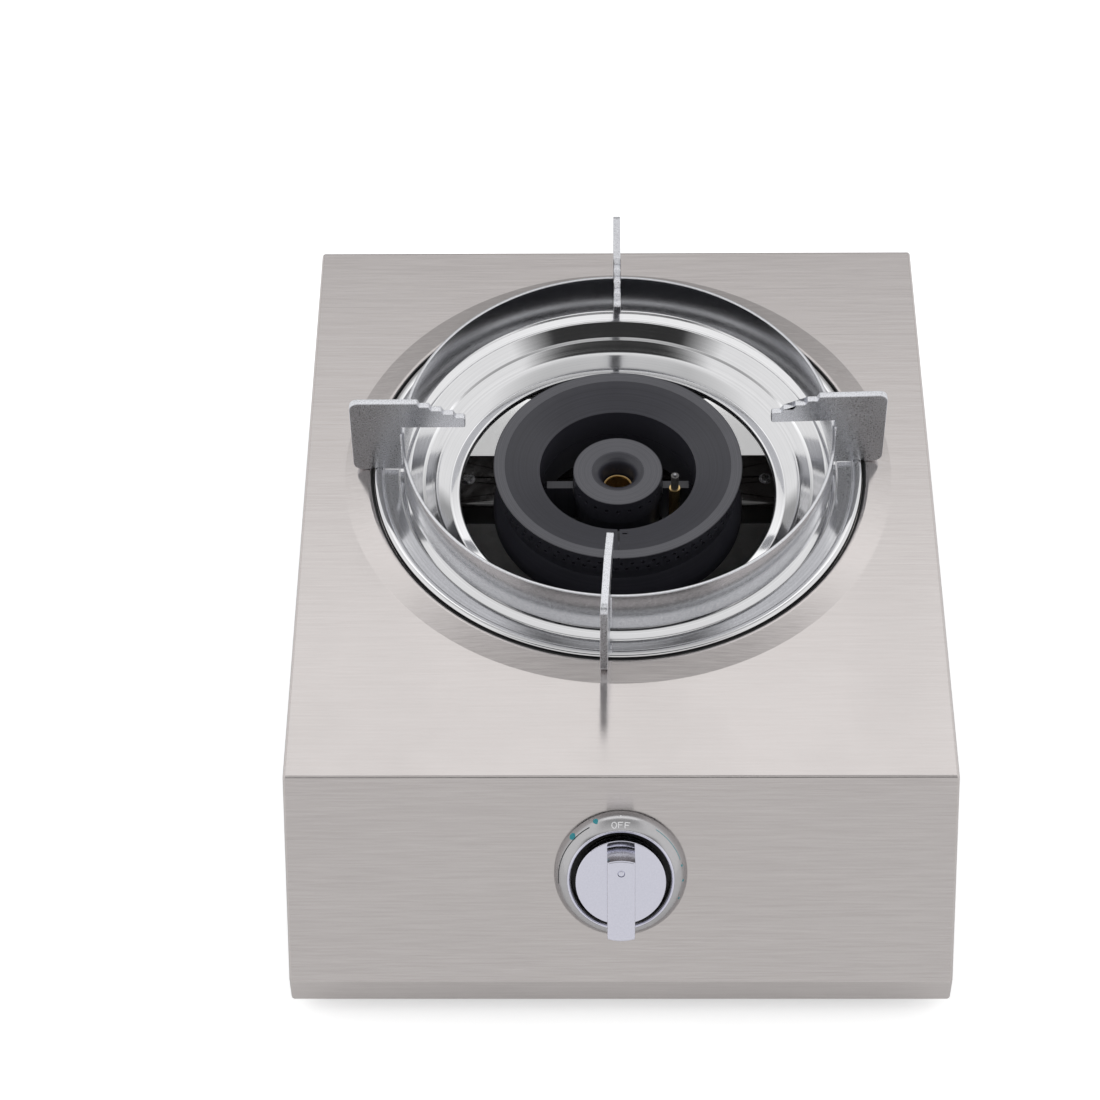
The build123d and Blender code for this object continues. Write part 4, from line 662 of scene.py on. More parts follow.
class Workshop:
    """Geometry Nodes trees that make turned, repeated and fastened pieces."""

    @staticmethod
    def tree(name: str, inputs: Mapping[str, str]) -> tuple[Board, bpy.types.Node]:
        """New tree with a geometry input, named inputs and a material.

        Args:
            name: The tree's name.
            inputs: Socket types by input name.

        Returns:
            A board on the tree and its Group Input node.
        """
        tree = bpy.data.node_groups.new(name, "GeometryNodeTree")
        tree.interface.new_socket("Geometry", in_out="INPUT", socket_type="NodeSocketGeometry")
        for key, kind in {**inputs, "Material": "Material"}.items():
            tree.interface.new_socket(key, in_out="INPUT", socket_type=f"NodeSocket{kind}")
        tree.interface.new_socket("Geometry", in_out="OUTPUT", socket_type="NodeSocketGeometry")
        board = Board(tree)
        return board, board.add("NodeGroupInput")

    @staticmethod
    def close(board: Board, source: bpy.types.Node, shape: Socket) -> bpy.types.NodeTree:
        """End a tree in Realize Instances and Set Material.

        Args:
            board: The tree's board.
            source: Its Group Input node.
            shape: The geometry that it makes.

        Returns:
            The finished tree.
        """
        real = board.get("GeometryNodeRealizeInstances", {"Geometry": shape})
        inputs = {"Geometry": real, "Material": source.outputs["Material"]}
        board.add("NodeGroupOutput", {"Geometry": board.get("GeometryNodeSetMaterial", inputs)})
        return board.tree

    @staticmethod
    def join(board: Board, *parts: Socket) -> Socket:
        """Join several geometries."""
        whole = board.add("GeometryNodeJoinGeometry")
        for part in parts:
            board.tree.links.new(part, whole.inputs[0])
        return whole.outputs[0]

    @staticmethod
    def run(
        made: bpy.types.Object, tree: bpy.types.NodeTree, values: Mapping[str, object], place: Matrix
    ) -> None:
        """Run a tree on an object and keep its result there as a plain mesh.

        Args:
            made: The object, whose mesh is the tree's geometry input.
            tree: The tree.
            values: Input values by name.
            place: Place of the result, in metres.
        """
        modifier = made.modifiers.new(tree.name, "NODES")
        modifier.node_group = tree
        for item in tree.interface.items_tree:
            if item.in_out == "INPUT" and item.name in values:
                modifier[item.identifier] = values[item.name]
        seen = made.evaluated_get(bpy.context.evaluated_depsgraph_get())
        mesh = bpy.data.meshes.new_from_object(seen)
        made.modifiers.clear()
        mesh.transform(place)
        made.data = mesh

    @cached_property
    def turned(self) -> bpy.types.NodeTree:
        """Tree that turns a flat profile, (radius, height), round the z axis."""
        board, source = self.tree("turned_shape", {"Segments": "Int", "Path Radius": "Float"})
        profile = board.get("GeometryNodeMeshToCurve", {"Mesh": source.outputs["Geometry"]})
        round_path = {"Resolution": source.outputs["Segments"], "Radius": source.outputs["Path Radius"]}
        circle = board.get("GeometryNodeCurvePrimitiveCircle", round_path)
        upright = board.get("GeometryNodeSetCurveNormal", {"Curve": circle}, mode="Z_UP")
        skin = board.get("GeometryNodeCurveToMesh", {"Curve": upright, "Profile Curve": profile})
        joined = board.get("GeometryNodeMergeByDistance", {"Geometry": skin, "Distance": WELD_METRES})
        return self.close(board, source, joined)

    def turn(
        self,
        name: str,
        profile: Sequence[Point2],
        finish: Finish,
        place: Matrix,
        segments: int = 192,
        sharp: float = 30.0,
    ) -> bpy.types.Object:
        """Turned piece from a closed (radius, height) outline.

        Args:
            name: The piece's name.
            profile: Outline in millimetres.
            finish: Its finish.
            place: Place of the turning axis, in metres.
            segments: Steps round the axis.
            sharp: Edge angle in degrees past which an edge stays sharp.

        Returns:
            The piece as a plain mesh in its place.
        """
        path = sum(radius for radius, _ in profile) / len(profile)
        points = [(radius - path, -height, 0.0) for radius, height in profile]
        edges = [(index, (index + 1) % len(points)) for index in range(len(points))]
        made = mesh_object(name, points, edges=edges)
        values = {"Segments": segments, "Path Radius": path * MM, "Material": finish.material}
        self.run(made, self.turned, values, place)
        tidy_mesh(made.data, sharp)
        return made

    @cached_property
    def screws(self) -> bpy.types.NodeTree:
        """Tree that puts a cross-head screw on each point, along the point's facing attribute."""
        sizes = ("Head Radius", "Head Height", "Shank Radius", "Shank Length", "Thread Pitch")
        board, source = self.tree("screw_set", {**{key: "Float" for key in sizes}, "Seed": "Int"})
        radius, height, shank, length, pitch = (source.outputs[key] for key in sizes)
        head = self.screw_head(board, radius, height)
        ends = {"Radius Top": shank, "Radius Bottom": board.math("MULTIPLY", shank, 0.8)}
        rod = board.get("GeometryNodeMeshCone", {"Vertices": 16, "Depth": length, **ends})
        helix = {
            "Resolution": 12,
            "Rotations": board.math("DIVIDE", length, pitch),
            "Start Radius": board.math("MULTIPLY", shank, 0.82),
            "End Radius": board.math("MULTIPLY", shank, 0.96),
            "Height": board.math("MULTIPLY", length, 0.96),
        }
        crest = {"Resolution": 3, "Radius": board.math("MULTIPLY", pitch, 0.3)}
        thread = {
            "Curve": board.get("GeometryNodeCurveSpiral", helix),
            "Profile Curve": board.get("GeometryNodeCurvePrimitiveCircle", crest),
            "Fill Caps": True,
        }
        ridge = board.get("GeometryNodeCurveToMesh", thread)
        down = board.get("ShaderNodeCombineXYZ", {"Z": board.math("MULTIPLY", length, -1.0)})
        shaft = [
            board.get("GeometryNodeTransform", {"Geometry": part, "Translation": down})
            for part in (rod, ridge)
        ]
        screw = self.join(board, head, *shaft)
        facing = board.get("GeometryNodeInputNamedAttribute", {"Name": "facing"}, data_type="FLOAT_VECTOR")
        aligned = board.get("FunctionNodeAlignRotationToVector", {"Vector": facing}, axis="Z")
        limits = {"Max": math.pi, "Seed": source.outputs["Seed"]}
        chance = board.get("FunctionNodeRandomValue", limits, "Value", data_type="FLOAT")
        spin = board.get("FunctionNodeAxisAngleToRotation", {"Axis": (0.0, 0.0, 1.0), "Angle": chance})
        turns = {"Rotation": aligned, "Rotate By": spin}
        turned = board.get("FunctionNodeRotateRotation", turns, rotation_space="LOCAL")
        inputs = {"Points": source.outputs["Geometry"], "Instance": screw, "Rotation": turned}
        return self.close(board, source, board.get("GeometryNodeInstanceOnPoints", inputs))

    def screw_head(self, board: Board, radius: Socket, height: Socket) -> Socket:
        """Domed screw head with a cross cut into it.

        Args:
            board: The tree's board.
            radius: The head's radius.
            height: The head's height.

        Returns:
            The head's geometry, which stands on the origin.
        """
        disc = board.get("GeometryNodeMeshCircle", {"Vertices": 28, "Radius": radius}, fill_type="NGON")
        seat = board.get("GeometryNodeFlipFaces", {"Mesh": disc})
        dome = disc
        for rise, narrowing in ((0.5, 1.0), (0.26, 0.93), (0.16, 0.84), (0.08, 0.7)):
            lift = board.math("MULTIPLY", height, rise)
            inputs = {"Mesh": dome, "Offset Scale": lift, "Individual": False}
            step = board.add("GeometryNodeExtrudeMesh", inputs)
            inputs = {"Geometry": step.outputs["Mesh"], "Selection": step.outputs["Top"], "Scale": narrowing}
            dome = board.get("GeometryNodeScaleElements", inputs)
        inputs = {"Geometry": self.join(board, dome, seat), "Distance": WELD_METRES}
        head = board.get("GeometryNodeMergeByDistance", inputs)
        slot_size = {
            "X": board.math("MULTIPLY", radius, 1.15),
            "Y": board.math("MULTIPLY", radius, 0.28),
            "Z": board.math("MULTIPLY", height, 1.2),
        }
        bar = board.get("GeometryNodeMeshCube", {"Size": board.get("ShaderNodeCombineXYZ", slot_size)})
        top = board.get("ShaderNodeCombineXYZ", {"Z": height})
        crossed = board.add("GeometryNodeMeshBoolean", {"Mesh 1": head}, operation="DIFFERENCE")
        for quarter in (0.0, math.pi / 2):
            inputs = {"Geometry": bar, "Translation": top, "Rotation": (0.0, 0.0, quarter)}
            board.tree.links.new(board.get("GeometryNodeTransform", inputs), crossed.inputs["Mesh 2"])
        return crossed.outputs["Mesh"]

    @cached_property
    def rims(self) -> bpy.types.NodeTree:
        """Tree that puts a rolled rim of a slot's shape on each point."""
        board, source = self.tree("slot_rims", {"Length": "Float", "Width": "Float", "Roll": "Float"})
        length, width, roll = (source.outputs[key] for key in ("Length", "Width", "Roll"))
        outline = board.get("GeometryNodeCurvePrimitiveQuadrilateral", {"Width": length, "Height": width})
        ends = {"Radius": board.math("MULTIPLY", width, 0.499), "Count": 8, "Limit Radius": True}
        rounded = board.get("GeometryNodeFilletCurve", {"Curve": outline, **ends}, mode="POLY")
        bead = board.get("GeometryNodeCurvePrimitiveCircle", {"Resolution": 8, "Radius": roll})
        rim = board.get("GeometryNodeCurveToMesh", {"Curve": rounded, "Profile Curve": bead})
        inputs = {"Points": source.outputs["Geometry"], "Instance": rim}
        return self.close(board, source, board.get("GeometryNodeInstanceOnPoints", inputs))

    @cached_property
    def beads(self) -> bpy.types.NodeTree:
        """Tree that lays a run of overlapping weld beads along each edge of its input."""
        board, source = self.tree("weld_run", {"Bead Radius": "Float", "Spacing": "Float", "Seed": "Int"})
        lines = board.get("GeometryNodeMeshToCurve", {"Mesh": source.outputs["Geometry"]})
        inputs = {"Curve": lines, "Length": source.outputs["Spacing"]}
        points = board.get("GeometryNodeCurveToPoints", inputs, mode="LENGTH")
        ball = {"Radius": source.outputs["Bead Radius"], "Subdivisions": 2}
        limits = {"Min": 0.82, "Max": 1.1, "Seed": source.outputs["Seed"]}
        inputs = {
            "Points": points,
            "Instance": board.get("GeometryNodeMeshIcoSphere", ball),
            "Scale": board.get("FunctionNodeRandomValue", limits, "Value", data_type="FLOAT"),
        }
        return self.close(board, source, board.get("GeometryNodeInstanceOnPoints", inputs))


WORKSHOP = Workshop()


@dataclass
class SheetBody:
    """Brushed copy of the folded top with its sloped front, and rolled rims round the back panel's air
    slots.
    """

    vent_length: float = 36.0
    vent_width: float = 6.0
    vent_pitch_x: float = 48.0
    vent_pitch_z: float = 15.0
    vent_columns: int = 4
    vent_rows: int = 3
    sheet: float = 0.8
    rim_roll: float = 0.55
    end_face: float = 0.3

    def build(self) -> None:
        """Make the brushed top and the rolled rims of the back's air slots."""
        self.top()
        self.rear_rims()

    def top(self) -> None:
        """Folded top with a UV map that runs along the depth, across its grain."""
        made = merged_copy("hood", "brushed_top", 20.0)
        mesh = made.data
        layer = mesh.uv_layers.new(name=GRAIN_UV)
        across = Vector((1.0, 0.0, 0.0))
        for face in mesh.polygons:
            along = across.cross(face.normal)
            if along.length < self.end_face:
                along = Vector((0.0, 1.0, 0.0))
            along.normalize()
            for loop in face.loop_indices:
                point = mesh.vertices[mesh.loops[loop].vertex_index].co
                layer.data[loop].uv = (point.dot(along), point.dot(face.normal.cross(along)))
        present(made, BRUSHED_STEEL, Body.STOVE, ["hood"])

    def rear_rims(self) -> None:
        """Rolled rims round the air slots of the back panel."""
        back = LAYOUT.rear_y - self.sheet
        middle_z = (LAYOUT.top_z + LAYOUT.low_z) / 2
        columns = spaced(self.vent_columns, self.vent_pitch_x)
        rows = spaced(self.vent_rows, self.vent_pitch_z)
        made = mesh_object("rear_slot_rims", [(across, up, 0.0) for across in columns for up in rows])
        values = {
            "Length": self.vent_length * MM,
            "Width": self.vent_width * MM,
            "Roll": self.rim_roll * MM,
            "Material": GALVANISED.material,
        }
        centre = Vector((-self.vent_pitch_x / 2, back, middle_z)) * MM
        place = Matrix.Translation(centre) @ Matrix.Rotation(math.pi / 2, 4, "X")
        WORKSHOP.run(made, WORKSHOP.rims, values, place)
        tidy_mesh(made.data, 60.0)
        present(made, GALVANISED, Body.STOVE)


@dataclass
class DripBowl:
    """Pressed chrome bowl that hangs in the top's hole."""

    sheet: float = 0.7
    profile: list[Point2] = field(
        default_factory=lambda: [
            (117.0, -0.6), (117.0, 2.6), (112.6, 2.6), (112.0, 0.2), (105.2, 0.0), (104.6, -0.8),
            (99.5, -0.9), (94.0, -6.9), (92.6, -7.3), (87.5, -12.2), (81.0, -15.4),
            (76.0, -14.6), (76.0, -17.5),
        ]
    )
    bends: list[float] = field(
        default_factory=lambda: [2.0, 2.0, 0.5, 0.5, 0.5, 1.2, 0.5, 0.5, 9.0, 1.5, 1.2]
    )
    groove: tuple[float, float] = (117.15, 118.38)
    groove_top: float = 1.3
    groove_floor: float = -0.55
    shade_ring_wall: float = 0.3

    def build(self) -> None:
        """Turn the bowl from its section, and a black ring in the groove round its rim as painted shade for
        the gap.
        """
        section = sheet_section(self.profile, self.bends, self.sheet)
        place = LAYOUT.burner_place()
        made = WORKSHOP.turn("chrome_bowl", section, BOWL_CHROME, place, segments=256, sharp=50.0)
        present(made, BOWL_CHROME, Body.BOWL, ["drip_bowl"])
        # Black ring laid in the groove under the rim's edge: painted shade for the dark gap there.
        inside, outside = self.groove
        floor, top = self.groove_floor, self.groove_top
        section = [
            (inside, floor), (outside, floor), (outside, top), (outside - self.shade_ring_wall, top),
            (outside - self.shade_ring_wall, floor + self.shade_ring_wall), (inside, floor + self.shade_ring_wall),
        ]
        made = WORKSHOP.turn("rim_painted_shade", section, RUBBER, place)
        present(made, RUBBER, Body.STOVE)


@dataclass
class FlameCaps:
    """Lighter rings on the tops of the two flame caps, a painted highlight, and the bright end of the air
    tube between.
    """

    outer_land: tuple[Point2, Point2] = ((54.3, 3.11), (59.2, 3.29))
    inner_land: tuple[Point2, Point2] = ((12.6, -2.2), (21.0, -2.2))
    rise: float = 0.05
    sink: float = 0.15
    tube_radius: float = 6.75
    tube_level: float = -13.0
    tube_bead: float = 0.4

    def build(self) -> None:
        """Turn the painted highlight rings on both lands, and the tube's end."""
        self.land("outer_cap_painted_sheen", self.outer_land, Body.OUTER_CAP)
        self.land("inner_cap_painted_sheen", self.inner_land, Body.INNER_CAP)
        section = bead_section(self.tube_radius, self.tube_level, self.tube_bead)
        made = WORKSHOP.turn("tube_end", section, BRASS, LAYOUT.burner_place(), segments=64, sharp=60.0)
        present(made, BRASS, Body.STOVE)

    def land(self, name: str, ends: tuple[Point2, Point2], body: Body) -> None:
        """Turn a thin lighter ring over one land, as a painted highlight.

        Args:
            name: The piece's name.
            ends: Inner and outer edge of the cap's surface, (radius, height).
            body: The cap.
        """
        over = [(radius, height + self.rise) for radius, height in ends]
        under = [(radius, height - self.sink) for radius, height in ends]
        section = [*over, *under[::-1]]
        made = WORKSHOP.turn(name, section, BURNER_PAINTED_SHEEN, LAYOUT.burner_place(), segments=160)
        present(made, BURNER_PAINTED_SHEEN, body)


@dataclass
class PanSupport:
    """Flat hoop with four flag-shaped arms welded round it."""

    radius: float = 102.6
    wall: float = 1.5
    low: float = 4.6
    height: float = 23.0
    edge: float = 0.375
    thickness: float = 3.4
    reach: float = 126.6
    foot: float = 2.0
    notch: tuple[float, float, float] = (112.1, 117.5, 2.8)
    top: float = 47.5
    underside: float = 31.2
    flat_end: float = 94.6
    steps: int = 4
    step_length: float = 5.6
    step_drop: float = 2.5
    step_run: float = 1.2
    step_edge: float = 0.35
    root_sink: float = 0.05
    corner: float = 4.0
    arm_edge: float = 0.5
    weld: float = 0.8
    weld_out: float = 0.1
    weld_seed: int = 3
    angles: dict[str, float] = field(
        default_factory=lambda: {"right": 2.0, "rear": 90.0, "left": 180.2, "front": 266.7}
    )

    def build(self) -> None:
        """Make the hoop, the arms and the welds."""
        self.hoop()
        for name, angle in self.angles.items():
            self.arm(name, angle)
        self.welds()

    def hoop(self) -> None:
        """Turn the hoop with rounded edges."""
        inside = self.radius - self.wall
        high = self.low + self.height
        middle = (self.low + high) / 2
        corners = [(inside, high), (self.radius, high), (self.radius, self.low), (inside, self.low)]
        seam = (inside, middle)
        section = rounded_path([seam, *corners, seam], [self.edge] * len(corners), 4)[:-1]
        place = LAYOUT.burner_place()
        made = WORKSHOP.turn("support_hoop", section, HOOP_ZINC, place, segments=256, sharp=50.0)
        present(made, HOOP_ZINC, Body.SUPPORT, ["pan_support_ring"])

    def outline(self) -> list[Point2]:
        """Side outline of an arm, (distance from the burner's axis, height above the top panel)."""
        root = self.radius - self.root_sink
        notch_in, notch_out, notch_top = self.notch
        tip = self.flat_end - self.steps * self.step_length
        corners: list[Point3] = [
            (root, self.foot, 0.0),
            (notch_in, self.foot, 0.0),
            (notch_in, notch_top, 0.0),
            (notch_out, notch_top, 0.0),
            (notch_out, self.foot, 0.0),
            (self.reach, self.foot, self.corner),
            (self.reach, self.top, self.corner),
        ]
        for step in range(self.steps):
            start = self.flat_end - step * self.step_length
            level = self.top - step * self.step_drop
            corners += [
                (start, level, self.step_edge),
                (start - self.step_run, level - self.step_drop, self.step_edge),
            ]
        tip_top = self.top - self.steps * self.step_drop
        corners += [
            (tip, tip_top, self.step_run),
            (tip, self.underside, self.step_run),
            (root, self.underside, 0.0),
        ]
        points = [(x, z) for x, z, _ in corners]
        radii = [radius for _, _, radius in corners]
        start = ((points[0][0] + points[-1][0]) / 2, (points[0][1] + points[-1][1]) / 2)
        return rounded_path([start, *points, start], radii, 6)[:-1]

    def arm(self, name: str, angle: float) -> None:
        """Cut one arm from plate and round its edges.

        Args:
            name: Which arm.
            angle: Its direction round the burner, in degrees.
        """
        half = self.thickness / 2
        outline = self.outline()
        count = len(outline)
        points = [(x, -half, z) for x, z in outline] + [(x, half, z) for x, z in outline]
        faces = [list(range(count)), list(range(2 * count - 1, count - 1, -1))]
        faces += [(i, (i + 1) % count, count + (i + 1) % count, count + i) for i in range(count)]
        made = mesh_object(f"support_arm_{name}", points, faces)
        made.data.transform(LAYOUT.burner_place() @ Matrix.Rotation(math.radians(angle), 4, "Z"))
        tidy_mesh(made.data, 35.0)
        round_edges(made, self.arm_edge)
        weigh_faces(made)
        present(made, SUPPORT_ZINC, Body.SUPPORT, [f"pan_support_arm_{name}"])

    def welds(self) -> None:
        """Lay a weld down each side of each arm where it meets the hoop."""
        points, edges = [], []
        half = self.thickness / 2
        for angle in self.angles.values():
            turn = Matrix.Rotation(math.radians(angle), 3, "Z")
            for side in (-half, half):
                for height in (self.low + 2 * self.weld, self.low + self.height - 2 * self.weld):
                    points.append(turn @ Vector((self.radius + self.weld_out, side, height)))
                edges.append((len(points) - 2, len(points) - 1))
        made = mesh_object("support_welds", points, edges=edges)
        values = {
            "Bead Radius": self.weld * MM,
            "Spacing": self.weld * MM,
            "Seed": self.weld_seed,
            "Material": SUPPORT_ZINC.material,
        }
        WORKSHOP.run(made, WORKSHOP.beads, values, LAYOUT.burner_place())
        made.data.shade_smooth()
        present(made, SUPPORT_ZINC, Body.SUPPORT)


@dataclass(frozen=True)
class Stroke:
    """Printed line on the dial: points (across, up the dome) in millimetres and a width at each."""

    points: tuple[Point2, ...]
    widths: tuple[float, ...]
    closed: bool = False

    def sides(self) -> list[tuple[Point2, Point2]]:
        """Left and right edge of the line at each of its points."""
        count = len(self.points)
        edges = []
        for index, point in enumerate(self.points):
            before = self.points[index - 1] if index or self.closed else point
            after = self.points[(index + 1) % count] if index + 1 < count or self.closed else point
            run = (Vector(after) - Vector(before)).normalized()
            out = Vector((-run.y, run.x)) * (self.widths[index] / 2)
            left, right = Vector(point) + out, Vector(point) - out
            edges.append(((left.x, left.y), (right.x, right.y)))
        return edges

    def fine(self, step: float = 0.5) -> "Stroke":
        """The same line with more points, so that it can bend over the dome."""
        ends = list(zip(self.points, self.widths))
        rows: list[tuple[Point2, float]] = []
        for (start, wide), (end, narrow) in zip(ends, ends[1:]):
            count = math.ceil((Vector(end) - Vector(start)).length / step)
            for index in range(count):
                share = index / count
                middle = Vector(start).lerp(Vector(end), share)
                rows.append(((middle.x, middle.y), wide + (narrow - wide) * share))
        rows.append(ends[-1])
        return Stroke(tuple(point for point, _ in rows), tuple(width for _, width in rows))


LETTER_LINE = 0.42


def line(*points: Point2, width: float = LETTER_LINE) -> Stroke:
    """Printed line of one width."""
    return Stroke(points, (width,) * len(points)).fine()


@dataclass
class KnobDial:
    """Domed dial ring with its printed marks, round the chrome knob."""

    radius: float = 29.8
    height: float = 8.5
    lip: float = 24.0
    wall: float = 1.4
    bulge: float = 1.0
    roof: float = 3.1
    letter_height: float = 2.8
    letter_width: float = 2.1
    letter_pitch: float = 2.95
    letter_middle: float = 7.1
    bar_drop: float = 0.2
    bar_short: float = 0.4
    mark_radius: float = 26.0
    tick: Point2 = (2.2, 3.8)
    flames: tuple[Point2, ...] = ((-23.5, 1.0), (-49.0, 1.3))
    flame: tuple[Point2, ...] = ((-1.5, 0.7), (-1.0, 1.7), (-0.3, 2.3), (0.5, 1.9), (1.2, 1.0), (1.6, 0.2))
    flame_up: float = 3.0
    flame_lean: float = 0.12
    dots: tuple[float, ...] = (78.0, 93.0, 111.0)
    dot_half: float = 0.5
    dot_width: float = 0.9
    scale_up: float = 4.6
    print_lift: float = 0.05
    print_sink: float = 0.12
    # Sizes of the black floor and sleeve in the gap round the knob, which are painted shade.
    shade_inside: float = 19.0
    shade_floor: float = 2.0
    shade_wall: float = 0.35
    bead: float = 0.65

    def build(self) -> None:
        """Make the dial ring and print its marks."""
        self.ring()
        self.gap_painted_shade()
        self.lip_bead()
        self.words()
        self.scale()

    def bend(self) -> tuple[Vector, Vector, float]:
        """Centre, first spoke and sweep of the domed face's arc, from the rim to the lip."""
        low = Vector((self.radius, self.wall))
        high = Vector((self.lip, self.height))
        out = Vector((self.height - self.wall, self.radius - self.lip)).normalized()
        half = (high - low).length / 2
        reach = (half**2 + self.bulge**2) / (2 * self.bulge)
        centre = (low + high) / 2 - out * (reach - self.bulge)
        start = low - centre
        return centre, start, start.angle_signed(high - centre)

    def crown(self, steps: int = 24) -> list[Point2]:
        """Points up the domed face, from the rim to the lip."""
        centre, start, sweep = self.bend()
        points = [centre + Matrix.Rotation(-sweep * step / steps, 2) @ start for step in range(steps + 1)]
        return [(point.x, point.y) for point in points]

    def over_dome(self, across: float, up: float, lift: float) -> Vector:
        """Point over the domed face.

        Args:
            across: Way round the dial from its top, to the right, at the marks' radius.
            up: Way up the dome from its rim.
            lift: Height off the dome.

        Returns:
            The point in the dial's own frame.
        """
        centre, start, sweep = self.bend()
        reach = start.length
        share = up / (reach * abs(sweep))
        spoke = Matrix.Rotation(-sweep * share, 2) @ start
        flat = centre + spoke * (1 + lift / reach)
        turn = across / self.mark_radius
        return Vector((flat.x * math.sin(turn), flat.x * math.cos(turn), flat.y))

    def ring(self) -> None:
        """Turn the dial ring, hollow underneath."""
        inside = self.lip - self.wall
        under = self.radius - self.wall
        section = [
            (self.radius, 0.0),
            *self.crown(),
            (inside, self.height - self.wall / 2),
            (inside, 0.0),
            (self.lip, 0.0),
            (self.lip, self.height - self.roof),
            (under, self.wall / 2),
            (under, 0.0),
        ]
        made = WORKSHOP.turn("dial_ring", section, DIAL_SATIN, LAYOUT.panel_place())
        present(made, DIAL_SATIN, Body.STOVE, ["bezel"])

    def gap_painted_shade(self) -> None:
        """Turn a black floor and sleeve that line the gap round the knob, as painted shade in the gap."""
        outside = self.lip - self.wall - 0.02
        top = self.height - self.wall
        section = [
            (self.shade_inside, 0.1), (outside, 0.1), (outside, top), (outside - self.shade_wall, top),
            (outside - self.shade_wall, self.shade_floor), (self.shade_inside, self.shade_floor),
        ]
        made = WORKSHOP.turn("dial_gap_painted_shade", section, PLASTIC, LAYOUT.panel_place(), segments=128)
        present(made, PLASTIC, Body.STOVE)

    def lip_bead(self) -> None:
        """Turn the polished bead on the dial's inner edge."""
        section = bead_section(self.lip - self.bead, self.height - self.bead / 2, self.bead)
        place = LAYOUT.panel_place()
        made = WORKSHOP.turn("dial_bead", section, KNOB_CHROME, place, segments=160, sharp=60.0)
        present(made, KNOB_CHROME, Body.STOVE)

    def printed(self, name: str, strokes: Sequence[Stroke], finish: Finish) -> None:
        """Bend printed lines onto the dome as one thin piece.

        Args:
            name: The piece's name.
            strokes: Its lines.
            finish: Its ink.
        """
        points: list[Vector] = []
        faces: list[tuple[int, ...]] = []
        for stroke in strokes:
            first = len(points)
            sides = stroke.sides()
            for left, right in sides:
                points += [self.over_dome(*left, self.print_lift), self.over_dome(*right, self.print_lift)]
                points += [self.over_dome(*right, -self.print_sink), self.over_dome(*left, -self.print_sink)]
            steps = len(sides) if stroke.closed else len(sides) - 1
            for step in range(steps):
                here, there = first + 4 * step, first + 4 * ((step + 1) % len(sides))
                faces += [
                    (here + k, here + (k + 1) % 4, there + (k + 1) % 4, there + k) for k in range(4)
                ]
            if not stroke.closed:
                last = len(points) - 4
                faces += [(first + 3, first + 2, first + 1, first), (last, last + 1, last + 2, last + 3)]
        made = mesh_object(name, points, faces)
        made.data.transform(LAYOUT.panel_place())
        tidy_mesh(made.data, 30.0)
        present(made, finish, Body.STOVE)

    def words(self) -> None:
        """Print OFF at the top of the dial with a tick over it."""
        top = self.letter_middle - self.letter_height / 2
        foot = top + self.letter_height
        half = self.letter_width / 2
        rise = self.letter_height / 2
        turns = [2 * math.pi * step / 20 for step in range(20)]
        ring = tuple(
            (-self.letter_pitch + half * math.cos(turn), self.letter_middle + rise * math.sin(turn))
            for turn in turns
        )
        strokes = [Stroke(ring, (LETTER_LINE,) * len(ring), closed=True)]
        for letter in (0.0, self.letter_pitch):
            left, right = letter - half, letter + half
            strokes += [
                line((left, foot), (left, top)),
                line((left, top + self.bar_drop), (right, top + self.bar_drop)),
                line((left, self.letter_middle), (right - self.bar_short, self.letter_middle)),
            ]
        strokes.append(line(*((0.0, up) for up in self.tick)))
        self.printed("dial_off", strokes, PRINT_LIGHT)

    def at(self, degrees: float) -> float:
        """Way round the dial to an angle from its top, in degrees to the right."""
        return self.mark_radius * math.radians(degrees)

    def scale(self) -> None:
        """Print the flame marks, the dots and the lines between them."""
        marks = []
        for degrees, size in self.flames:
            middle = self.at(degrees)
            points = tuple(
                (middle + self.flame_lean * size * step, self.flame_up + size * rise)
                for step, (rise, _) in enumerate(self.flame)
            )
            marks.append(Stroke(points, tuple(size * width for _, width in self.flame)))
        for degrees in self.dots:
            middle = self.at(degrees)
            ends = ((middle, self.scale_up + end) for end in (-self.dot_half, self.dot_half))
            marks.append(line(*ends, width=self.dot_width))
        marks.append(self.sweep(34.0, 72.0, 0.25))
        self.printed("dial_flames", marks, PRINT_TEAL)
        self.printed("dial_scale", [self.sweep(-96.0, -30.0, 0.5)], PRINT_DARK)

    def sweep(self, start: float, end: float, width: float, step: float = 2.0) -> Stroke:
        """Line round the dial.

        Args:
            start: Angle from the dial's top where it starts, in degrees to the right.
            end: Angle where it ends.
            width: Its width.
            step: Angle between its points.

        Returns:
            The line.
        """
        turns = [start + step * index for index in range(round((end - start) / step) + 1)]
        return line(*((self.at(degrees), self.scale_up) for degrees in turns), width=width)


@dataclass
class StemSpring:
    """Coil spring behind the knob; the real one closes as the knob is pressed, this copy moves whole with
    the valve plug.
    """

    travel: float = 4.0

    def build(self) -> None:
        """Copy the spring and let it move with the valve plug."""
        made = merged_copy("stem_spring", "coil_spring", 40.0)
        present(made, SPRING_STEEL, Body.PLUG, ["stem_spring"])
        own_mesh(made)


@dataclass(frozen=True)
class ScrewSet:
    """CAD node of screws that face the same way, and the sizes of their heads and threads."""

    node: str
    facing: Point3
    shank: float = 1.9
    head: float = 3.4
    head_height: float = 1.9
    pitch: float = 1.2


